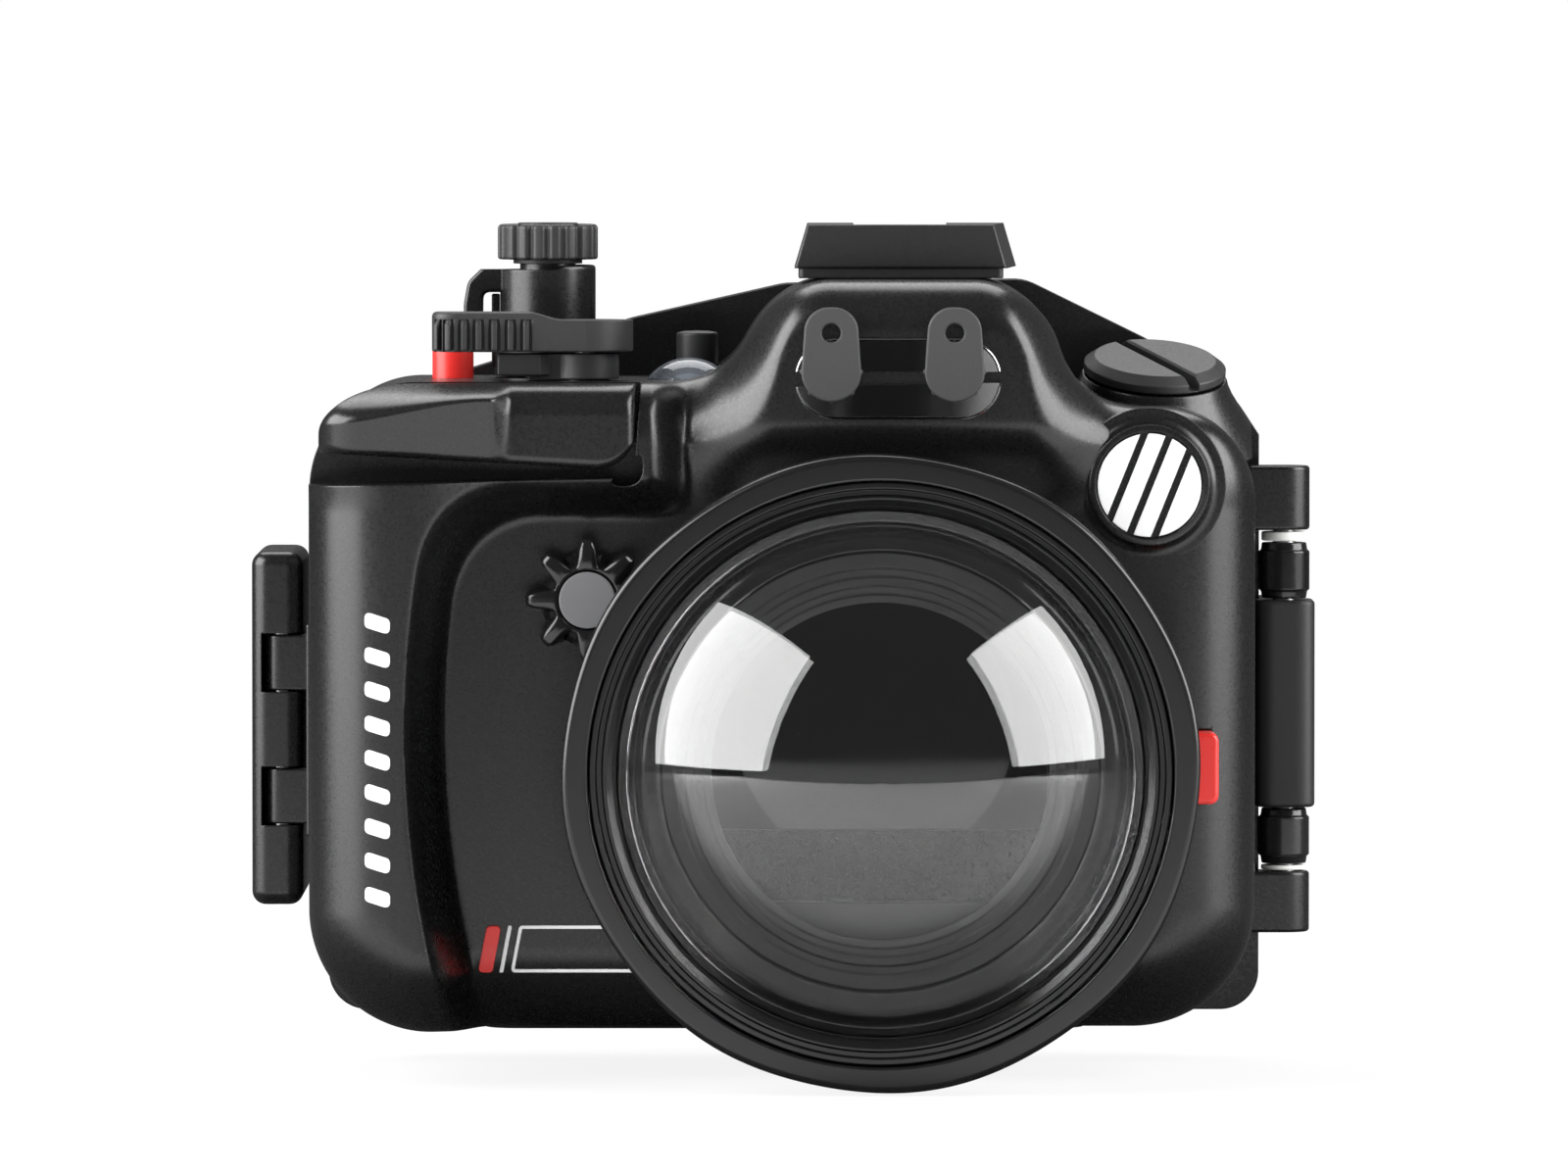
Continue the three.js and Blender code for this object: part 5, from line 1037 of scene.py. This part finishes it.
def power_lever():
    """A collar with a bent finger arm. The collar's rim steps down on the arm's side."""
    collar = sleeve("power_collar", [[5.3, 123.7], [8.6, 123.7], [8.6, 136.4], [5.3, 136.4]], TURRET, "z",
                    [0.3, 0.5, 0.7, 0.3], 128)
    arm = softened([[-44, 136.4], [-53.8, 136.4], [-56.9, 133.4], [-57.6, 129.4], [-57.6, 125.4],
                    [-54.2, 125.4], [-54.1, 131.5], [-44, 131.5]], [0, 3, 3, 3, 0.8, 0.8, 1.4, 0], 8)
    bar = plate("tool", arm, (-0.6, 4.6), "y", edge=0.7)
    body = cut(joined(collar, bar), rod(5.3, (120, 140), TURRET))
    fall = softened([[-60, 135.6], [-41, 135.6], [-38.6, 136.5], [-38.6, 140], [-60, 140]],
                    [0, 1.5, 1.5, 0, 0], 5)
    return cut(body, plate("tool", fall, (-10, 14), "y", edge=0))


seat(dial_turret(), "front_body", "paint", "dial_turret")
seat(mode_knob(), "mode_dial", "polymer", "mode_knob")
seat(mode_shaft(), "mode_dial", "steel", "mode_shaft")
seat(power_lever(), "power", "paint", "power_lever")


# Deck buttons and the status light
def deck_button(name, centre, radius, high, crown):
    """A button: a straight cap with a rounded rim and a slightly crowned top, over its stem."""
    profile = softened([[0, 100.5], [1.6, 100.5], [1.6, 114.8], [radius, 114.8], [radius, high - crown],
                        [radius * 0.6, high - 0.1], [0, high]], [0, 0.2, 0.1, 0.2, 0.55, 2, 0], 5, False)
    return turned(name, profile, centre, "z", 96)


def status_lens():
    """The clear dome: a cap of a sphere on a straight rim, hollowed below for the lamp."""
    rise, radius = 3.6, 7.4
    bow = (radius ** 2 + rise ** 2) / (2 * rise)
    out = np.linspace(radius, 0, 30)
    dome = np.stack([out, 116.5 + rise - bow + np.sqrt(bow ** 2 - out ** 2)], -1)
    profile = np.concatenate([[[0, 115.2], [1.6, 114.9], [2.6, 113.8], [2.6, 112.4], [radius, 112.4]], dome])
    return turned("status_window", profile, STATUS_LIGHT, "z", 96)


def alarm_board():
    """The board under the deck, with its coin cell in a holder and a few parts."""
    board = plate("leak_alarm_board", boxed(-31, -9, -25, -3, 1.5), (103.6, 105.2), edge=0.1, steps=2)
    cell = sleeve("tool", [[0, 101.9], [9.4, 101.9], [10, 102.4], [10, 104], [0, 104]], (-20, -14),
                  rounds=0.1)
    chips = [brick(-30, -27.6, -23.8, -20.6, 102.8, 104), brick(-13.4, -10.2, -6.6, -4.2, 102.6, 104),
             brick(-29.8, -28, -7.6, -4.4, 102.9, 104)]
    return joined(board, cell, *chips)


def moisture_sensor():
    """A small board with two bare combs that a drop of water bridges."""
    board = plate("moisture_combs", boxed(50, 62, -20, -14, 0.8), (13.3, 14.9), edge=0.1, steps=2)
    rows = ((-17.4, -14.8), (-19.2, -16.6))
    teeth = [brick(51 + 1.4 * n, 51.7 + 1.4 * n, *rows[n % 2], 14.8, 15.2) for n in range(8)]
    return joined(board, *teeth)


seat(deck_button("record_button", VIDEO_BUTTON, 3.7, 122.8, 0.5), "video", "red", "video_button")
seat(deck_button("small_button", TOP_BUTTON, 3.8, 124.6, 0.4), "top", "polymer", "top_button")
seat(status_lens(), "front_body", "milky", "status_lens")
seat(post("status_bead", 2.3, (105.5, 113.3), STATUS_LIGHT, edge=(0.1, 1.2)),
     "front_body", "white", "status_lamp")
seat(alarm_board(), "front_body", "board", "alarm_board")
seat(moisture_sensor(), "front_body", "board", "moisture_sensor")


# Cold shoe with its two screws
def cold_shoe():
    """The accessory shoe: sloping cheeks that flare to the rear on the right, a foot set in from them,
    a closed front and a slot with two rails over it."""
    outline = [[1.9, 136.1], [39.8, 136.1], [37.5, 143.9], [4.2, 143.9]]
    cheeks = plate("accessory_shoe", outline, (-18, 8), "y", edge=0.55, steps=5)
    place = np.empty(len(cheeks.data.vertices) * 3)
    cheeks.data.vertices.foreach_get("co", place)
    place = place.reshape(-1, 3)
    share = np.clip((place[:, 1] / MM + 18) / 26, 0, 1) * np.clip((place[:, 0] / MM - 25) / 8, 0, 1)
    place[:, 0] += 2.1 * MM * share
    cheeks.data.vertices.foreach_set("co", place.ravel())
    foot = plate("tool", boxed(2.6, 39.2, -17.4, 8, 1), (134.3, 136.6), edge=0.2)
    slot = brick(12.45, 29.25, -15, 12, 137.6, 150)
    rails = brick(11.15, 30.55, -15, 12, 137.6, 139.9)
    holes = [rod(1.5, (133, 140), centre) for centre in SHOE_SCREWS.values()]
    return cut(joined(cheeks, foot), slot, rails, *holes)


def shoe_screw(name, centre):
    """A shoe screw: a low head with a hexagon hole over a plain shank."""
    body = joined(post(name, 2.4, (137.9, 139.3), centre, sides=64),
                  post("tool", 1.2, (130.2, 138.1), centre, sides=48))
    return cut(body, hexagon(1.1, (138.5, 140), centre))


seat(cold_shoe(), "front_body", "shoe", "cold_shoe")
for place, centre in SHOE_SCREWS.items():
    seat(shoe_screw(f"shoe_fixing_{place}", centre), "front_body", "steel", f"shoe_screw_{place}")


# Tray with its screw, and the base plate
def camera_tray():
    """The tray: a plate with shallow grip grooves and a lip that the camera's front rests against."""
    body = joined(plate("tray_plate", boxed(-42, 42, -24, 12, 3), (13.3, 18.8), edge=0.4),
                  plate("tool", boxed(-42, 42, -24, -21, 1.4), (14, 22.8)))
    grooves = [brick(-38, 38, y, y + 1, 18.4, 20) for y in (-18, -14.5, 2, 5.5, 9)]
    return cut(body, *grooves, rod(6.3, (11, 16.4), TRAY_SCREW), rod(3.3, (13, 20), TRAY_SCREW))


def tray_screw():
    """The camera screw: a knurled head with a coin slot under a threaded shank."""
    pitch = 1.27
    threads = [[3 - 0.35 * (n % 2), 16.6 + n * pitch / 2] for n in range(8)]
    shank = [[0, 15], [2.6, 15], [2.6, 16.3], *threads, [2.6, 22], [0, 22]]
    stem = turned("tool", shank, TRAY_SCREW, "z", 64)
    head = plate("camera_screw", ribbed(6, 30, 0.35, TRAY_SCREW, 1.0, 2), (13.6, 15.8), edge=0.3)
    return cut(joined(head, stem), brick(3, 17, -6.6, -5.4, 13, 14.6))


def base_plate():
    """The base plate: a rounded slab with two countersunk screws and two threaded holes, and a shallow
    groove beside each screw."""
    body = plate("foot_plate", boxed(-54, 54, -17, 17, 6), (0, 6), edges=(0.7, 0.3), steps=5)
    tools = []
    for centre in BASE_SCREWS.values():
        tools += [rod(2.2, (-1, 7), centre), rod(3.7, (-1, 3.1), centre)]
    threads = [[2.5 - 0.2 * (n % 2), 0.9 + 0.4 * n] for n in range(12)]
    hole = [[0, -1], [3.1, -1], [3.1, 0], [2.5, 0.6], *threads, [0, 5.7]]
    for x in (-27, 27):
        tools.append(turned("tool", hole, (x, 0), "z", 48))
    for left in (-37, 33):
        tools.append(plate("tool", boxed(left, left + 4, -12, 12, 1.9), (-1, 0.35), edge=0))
    return cut(body, *tools)


seat(camera_tray(), "front_body", "polymer", "camera_tray")
seat(tray_screw(), "front_body", "steel", "tray_screw")
seat(base_plate(), "front_body", "polymer", "base_plate")
for side, centre in BASE_SCREWS.items():
    seat(screw(f"base_fixing_{side}", 3.4, (0.4, 2.8), 1.9, 9.6, centre),
         "front_body", "steel", f"base_screw_{side}")


# Rear door
DOOR = {"left": -82.6, "right": 86.1, "bottom": 1, "corner": 7, "round": 5, "front": 18.3, "roof": 133.4}
ROOF_SHARES = ((0, 0.79), (0.02, 0.835), (0.11, 0.862), (0.326, 0.947), (0.49, 0.994), (0.749, 1),
               (0.881, 0.918), (0.975, 0.838), (1, 0.79))
ROOF = softened([[DOOR["left"] + share * (DOOR["right"] - DOOR["left"]), DOOR["roof"] * height]
                 for share, height in ROOF_SHARES], 9, 8, False)
SCREEN = (-34, 50, 32, 92, 3)
REAR_BUTTONS = {"menu": (-55, 24), "playback": (-69, 24), "info": (-69, 67), "set": (-62, 45)}


def door_shell():
    """The rear casting: a flat front with the seal's groove, a hollow, a window opening with its seat,
    and a back whose edges are rounded."""
    corner = DOOR["corner"]

    def low(x):
        into = np.maximum(np.maximum(DOOR["left"] + corner - x, x - DOOR["right"] + corner), 0)
        return DOOR["bottom"] + corner - np.sqrt(np.maximum(corner ** 2 - into ** 2, 0))

    def high(x):
        return np.interp(x, ROOF[:, 0], ROOF[:, 1])

    x, z = faced(DOOR["left"], DOOR["right"], 220, 130, low, high)
    inside = np.minimum.reduce([x - DOOR["left"], DOOR["right"] - x, z - low(x), high(x) - z])
    back = DOOR_BACK_Y - quarter_fall(inside, DOOR["round"])
    front = np.full_like(x, DOOR["front"])
    body = slab("rear_casting", np.stack([x, back, z], -1), np.stack([x, front, z], -1))
    groove = cut(plate("tool", boxed(-80.3, 80.3, 5.4, 110, 18.6, 12), (16, 21.2), "y", edge=0),
                 plate("tool", boxed(-77.1, 77.1, 8.6, 106.8, 15.4, 12), (15, 23), "y", edge=0))
    tools = [plate("tool", boxed(-72, 72, 14, 104, 13), (16, 35.7), "y", edges=(0, 2.5)),
             plate("tool", boxed(*SCREEN), (33, 42), "y", edge=0),
             plate("tool", boxed(-38.3, 54.3, 27.7, 96.3, 3), (37, 42), "y", edge=0), groove]
    tools += [rod(1.9, (33, 42), place, "y") for place in REAR_BUTTONS.values()]
    tools += [turned("tool", [[0, 39.4], [4.1, 39.4], [4.6, 40.2], [0, 40.2]], REAR_BUTTONS[name])
              for name in ("menu", "playback", "info")]
    return cut(body, *tools)


def window_bezel():
    """The frame round the window, with a bevelled mouth."""
    body = plate("window_frame", boxed(-41, 57, 25, 99, 6), (40.3, 41.9), "y", edges=(0.2, 0.7))
    mouth = plate("tool", boxed(*SCREEN), (39, 44), "y", edge=0)
    rims = ((boxed(*SCREEN), 40.9), (boxed(-35.2, 51.2, 30.8, 93.2, 4.2), 42.1))
    bevel = skin("tool", np.array([upright(rim, np.full(len(rim), y), "y") for rim, y in rims]))
    return cut(body, mouth, bevel)


def rear_button(name, centre):
    """A door button: a profile with a stem, a flat cap and a dished top, carried round its axis."""
    profile = softened([[0, 32], [1.6, 32], [1.6, 42.1], [3.6, 42.1], [3.6, 43.1], [2.2, 43.4], [0, 43.3]],
                       [0, 0.2, 0.05, 0.15, 0.25, 0.6, 0], 4, False)
    return turned(name, profile, centre, sides=80)


def rear_dial():
    """The dial round the middle button: a knurled ring with four small dimples."""
    centre = REAR_BUTTONS["set"]
    ring = plate("control_ring", ribbed(9, 36, 0.35, centre, 1.0, 3), (40.3, 43.3), "y", edges=(0.2, 0.6))
    ring = cut(ring, rod(4.6, (38, 45), centre, "y", 80))
    return cut(ring, *[post("tool", 0.7, (42.8, 44), place, "y", 0, 20) for place in circle(centre, 6.8, 4)])


def main_seal():
    """The door's seal: a round section carried along a rounded rectangle."""
    path = boxed(-78.7, 78.7, 7, 108.4, 17, 14)
    return swept("door_seal", upright(path, np.full(len(path), 19.6), "y"), circle((0, 0), 1.3, 16))


seat(door_shell(), "rear_door", "paint", "rear_shell")
seat(main_seal(), "rear_door", "seal", "main_oring")
seat(plate("screen_cover", boxed(-38, 54, 28, 96, 2.7), (37.3, 39.3), "y", edge=0.25),
     "rear_door", "smoke", "screen_window")
seat(window_bezel(), "rear_door", "polymer", "window_bezel")
for name, centre in REAR_BUTTONS.items():
    seat(rear_button(f"{name}_push", centre), name, "polymer", f"{name}_button")
seat(rear_dial(), "control_dial", "polymer", "rear_dial")


# Hinge
HINGE = (90.5, 14)


def hinge_lug(name, heights, hole):
    """A lug on the front casting's side with a rounded eye for the pin."""
    eye = arc(HINGE, 4.6, np.radians(np.linspace(-90, 90, 40)))
    loop = np.concatenate([eye, [[84.0, 18.2], [84.0, 9.4]]])
    return cut(plate(name, loop, heights, edge=0.6, steps=5), rod(2.3, hole, HINGE))


def hinge_bush(name, low, high):
    """A glossy barrel between a lug's washer and the leaf, with turned-down ends."""
    return sleeve(name, [[2.3, low], [4.0, low], [4.2, low + 1.3], [4.6, low + 1.6], [4.6, high - 1.6],
                         [4.2, high - 1.3], [4.0, high], [2.3, high]], HINGE, rounds=0.3)


def hinge_washer(name, low, high, rounds):
    """A plain washer between a lug and its bush."""
    return sleeve(name, [[2.3, low], [4.1, low], [4.1, high], [2.3, high]], HINGE, rounds=rounds)


def hinge_leaf():
    """The door's leaf: a long block round the pin whose front corners are rounded to clear the casting."""
    corners = [[85.1, 8.5], [96, 8.5], [96, 20], [95, 22], [95, 36], [86.3, 36], [86.3, 20.5], [85.1, 19.4]]
    loop = softened(corners, [3.7, 3.7, 2, 2, 0.6, 0.6, 0.8, 0.8], 10)
    return cut(plate("door_leaf", loop, (38.2, 75.6), edge=0.7, steps=5), rod(2.3, (30, 80), HINGE))


for end, lug, hole, bush, washer in (
        ("upper", (88.3, 99.9), (80, 98.4), (75.9, 86), (86.3, 88, 0.4)),
        ("lower", (15.5, 26.5), (17, 30), (27.9, 37.9), (26.8, 27.6, 0.25))):
    seat(hinge_lug(f"{end}_lug", lug, hole), "front_body", "paint", f"hinge_lug_{end}")
    seat(hinge_bush(f"{end}_bush", *bush), "front_body", "gloss", f"hinge_bush_{end}")
    seat(hinge_washer(f"{end}_washer", *washer), "front_body", "washer", f"hinge_washer_{end}")
seat(post("door_pin", 2, (17.3, 98.1), HINGE, edge=0.4), "front_body", "steel", "hinge_pin")
seat(hinge_leaf(), "rear_door", "leaf", "door_hinge_leaf")


# Latch
LATCH = (-90.4, -1)
KNUCKLES = ((36, 46), (60, 70))


def latch_bracket():
    """A plate on the casting's side with two knuckles for the latch's pin."""
    eye = arc(LATCH, 3.2, np.radians(np.linspace(90, 270, 30)))
    loop = np.concatenate([eye, [[-85.3, -4.2], [-85.3, 2.2]]])
    base = plate("latch_mount", boxed(-85.8, -84.4, -8, 10, 0.5), (34, 72), edge=0.3)
    return cut(joined(base, *[plate("tool", loop, heights, edge=0.4) for heights in KNUCKLES]),
               rod(2.1, (30, 76), LATCH))


def latch_lever():
    """The long latch: a rounded bar with pockets for the knuckles and a hook behind the door's catch."""
    bar = plate("latch_bar", boxed(-95.7, -86.5, -5, 34, 3, 10), (21.4, 84.9), edge=2.4, steps=8)
    claw = softened([[-89.5, 31], [-89.5, 27.6], [-85.1, 27.6], [-85.1, 30.1], [-86.9, 31.6]], 0.3, 3)
    hook = plate("tool", claw, (38, 68), edge=0.4)
    pocket = softened([[-93.9, -8], [-84, -8], [-84, 2.8], [-93.9, 2.8]], [0, 0, 0, 1.5], 5)
    pockets = [plate("tool", pocket, (low - FIT, high + FIT), edge=0) for low, high in KNUCKLES]
    return cut(joined(bar, hook), *pockets, rod(2.1, (10, 75.3), LATCH))


seat(latch_bracket(), "front_body", "paint", "latch_bracket")
seat(post("latch_axle", 1.8, (31, 75), LATCH, edge=0.3), "front_body", "steel", "latch_pin")
seat(latch_lever(), "latch", "paint", "latch_lever")
seat(plate("catch_block", boxed(-84.8, -82.7, 22, 27, 0.5), (36, 70), edge=0.4),
     "rear_door", "paint", "door_catch")


# Printed marks on the front face
def on_face(flat, lift):
    """Points of the front view carried onto the front face, and lifted off it."""
    return np.stack([flat[:, 0], front_depth(flat[:, 0], flat[:, 1]) - lift, flat[:, 1]], -1)


def patch(loop, raised, rounding):
    """Rows of a low raised print, from under the face over its rounded rim to its middle."""
    loop = anticlockwise(finer(loop, 0.5))
    middle = loop.mean(0)
    steps = [(1, -SUNK), (1, raised - rounding)] + [(share, raised) for share in (0.985, 0.66, 0.33, 0.01)]
    return np.array([on_face(middle + (loop - middle) * share, lift) for share, lift in steps])


def patches(name, loops, raised=0.1, rounding=0.05):
    """Low raised prints of one colour: each loop of the front view gives one of them."""
    points, faces = [], []
    start = 0
    for loop in loops:
        rows = patch(loop, raised, rounding)
        number = start + np.arange(rows[..., 0].size).reshape(rows.shape[:2])
        below, above = number[:-1], number[1:]
        quads = np.stack([below, np.roll(below, -1, 1), np.roll(above, -1, 1), above], -1).reshape(-1, 4)
        faces += quads.tolist() + [number[0][::-1].tolist(), number[-1].tolist()]
        points.append(rows.reshape(-1, 3))
        start += number.size
    return shaped(name, np.concatenate(points), faces)


def outlined(name, loop, width, raised=0.1):
    """A printed line that follows a loop on the front face."""
    loop = anticlockwise(finer(loop, 0.5))
    steps = ((0, -SUNK), (0, raised), (width, raised), (width, -SUNK))
    rows = [on_face(loop - inset * side_normals(loop), lift) for inset, lift in steps]
    return skin(name, np.array(rows), ring=True)


def slanted(left, right, radius):
    """A rounded four-sided loop low on the front that leans to the right."""
    low, high, lean = 11.3, 19.7, 1.6
    return softened([[left, low], [right, low], [right + lean, high], [left + lean, high]], radius, 6)


def strokes():
    """Nine plain slanted strokes in a column on the grip."""
    return [softened([[-74, z], [-69.5, z - 1.4], [-69.5, z + 1.4], [-74, z + 2.8]], 1.0, 6)
            for z in np.linspace(25, 73.4, 9)]


SUNK = 0.25
seat(patches("grip_strokes", strokes()), "front_body", "white")
seat(patches("red_inlay", [slanted(-54.4, -51.8, 0.9)], 0.5, 0.25), "front_body", "red")
seat(patches("thin_stroke", [slanted(-50.6, -49.9, 0.25)]), "front_body", "white")
seat(outlined("plain_frame", slanted(-48.6, -19.6, 0.8), 0.6), "front_body", "white")


# Stage: a pale floor under the housing and soft boxes round it
def on_stage():
    """A pale table that keeps a soft shadow. To the camera it brightens to white away from the housing,
    and for mirror rays its colour is painted dark below and behind the housing, a painted shade in place of the
    shadow there."""
    corners = [(-FLOOR_SIDE, -FLOOR_FRONT, FLOOR_Z), (FLOOR_SIDE, -FLOOR_FRONT, FLOOR_Z),
               (FLOOR_SIDE, FLOOR_BACK, FLOOR_Z), (-FLOOR_SIDE, FLOOR_BACK, FLOOR_Z)]
    mesh = bpy.data.meshes.new("floor")
    mesh.from_pydata(corners, [], [[0, 1, 2, 3]])
    floor = bpy.data.objects.new("floor", mesh)
    bpy.context.scene.collection.objects.link(floor)
    material, tree, matt = new_material("white floor")
    matt.inputs["Roughness"].default_value = 0.9
    glow = node(tree, "ShaderNodeEmission", Color=(1, 1, 1, 1), Strength=1.0)
    where = node(tree, "ShaderNodeTexCoord").outputs["Object"]
    away = node(tree, "ShaderNodeVectorMath", _0=where)
    away.operation = "LENGTH"
    depth = node(tree, "ShaderNodeSeparateXYZ", Vector=where).outputs["Y"]
    # Painted shade: for mirror rays the floor's colour turns dark from a depth line backwards, under and behind
    # the housing, in place of the shadow there
    under = node(tree, "ShaderNodeMapRange", Value=depth, From_Min=PAINTED_SHADE_FRONT, From_Max=PAINTED_SHADE_BACK)
    under.interpolation_type = "SMOOTHSTEP"
    share = node(tree, "ShaderNodeMapRange", Value=away.outputs["Value"], From_Min=GLOW_NEAR,
                 From_Max=GLOW_FAR, To_Min=FLOOR_GLOW, To_Max=1.0)
    share.interpolation_type = "SMOOTHSTEP"
    path = node(tree, "ShaderNodeLightPath").outputs
    painted_mirror_shade = maths(tree, "MULTIPLY", path["Is Glossy Ray"], under.outputs[0])
    tree.links.new(blended(tree, painted_mirror_shade, (0.9, 0.9, 0.9), (0.04, 0.04, 0.04)), matt.inputs["Base Color"])
    through = maths(tree, "MULTIPLY", path["Is Transmission Ray"], WORLD_THROUGH)
    seen = maths(tree, "MAXIMUM", path["Is Camera Ray"], through)
    mix = node(tree, "ShaderNodeMixShader", _0=maths(tree, "MULTIPLY", seen, share.outputs[0]))
    tree.links.new(matt.outputs[0], mix.inputs[1])
    tree.links.new(glow.outputs[0], mix.inputs[2])
    tree.links.new(mix.outputs[0], tree.nodes["Material Output"].inputs["Surface"])
    mesh.materials.append(material)


def lit_world():
    """White where the camera looks, dimmer through clear parts, in mirrors and for the light it gives."""
    world = bpy.data.worlds.new("studio")
    bpy.context.scene.world = world
    world.use_nodes = True
    tree = world.node_tree
    path = node(tree, "ShaderNodeLightPath").outputs
    through = maths(tree, "MULTIPLY", path["Is Transmission Ray"], WORLD_THROUGH)
    glossy = maths(tree, "MULTIPLY", path["Is Glossy Ray"], WORLD_GLOSS)
    dim = maths(tree, "MAXIMUM", maths(tree, "MAXIMUM", glossy, through), WORLD_LIGHT)
    strength = maths(tree, "MAXIMUM", path["Is Camera Ray"], dim)
    tree.nodes["Background"].inputs["Color"].default_value = (1, 1, 1, 1)
    tree.links.new(strength, tree.nodes["Background"].inputs["Strength"])


def soft_box(name, direction, distance, width, height, power):
    """An area lamp that looks at the housing from one direction."""
    data = bpy.data.lights.new(name, "AREA")
    data.shape = "RECTANGLE"
    data.size = width
    data.size_y = height
    data.energy = power
    lamp = bpy.data.objects.new(name, data)
    bpy.context.scene.collection.objects.link(lamp)
    away = Vector(direction).normalized()
    lamp.location = LAMPS_AIM + distance * away
    lamp.rotation_euler = away.to_track_quat("Z", "Y").to_euler()


FLOOR_Z = -0.0085
FLOOR_SIDE = 6.0
FLOOR_FRONT = 0.9
FLOOR_BACK = 12.0
FLOOR_GLOW = 0.88
GLOW_NEAR = 0.12
GLOW_FAR = 0.6
# Depths in metres over which the floor's painted shade, seen only in mirrors, fades in towards the housing
PAINTED_SHADE_FRONT = -0.105
PAINTED_SHADE_BACK = -0.083
WORLD_GLOSS = 0.1
WORLD_LIGHT = 0.12
WORLD_THROUGH = 0.15
LAMPS_AIM = Vector((0.0, -0.03, 0.06))
on_stage()
lit_world()
soft_box("left box", (-0.862, -0.280, 0.423), 1.5, 1.6, 1.4, 64)
soft_box("right box", (0.872, -0.215, 0.40), 1.5, 1.25, 1.25, 41)
soft_box("top box", (0, 0.6, 0.8), 1.6, 1.3, 1.0, 14)
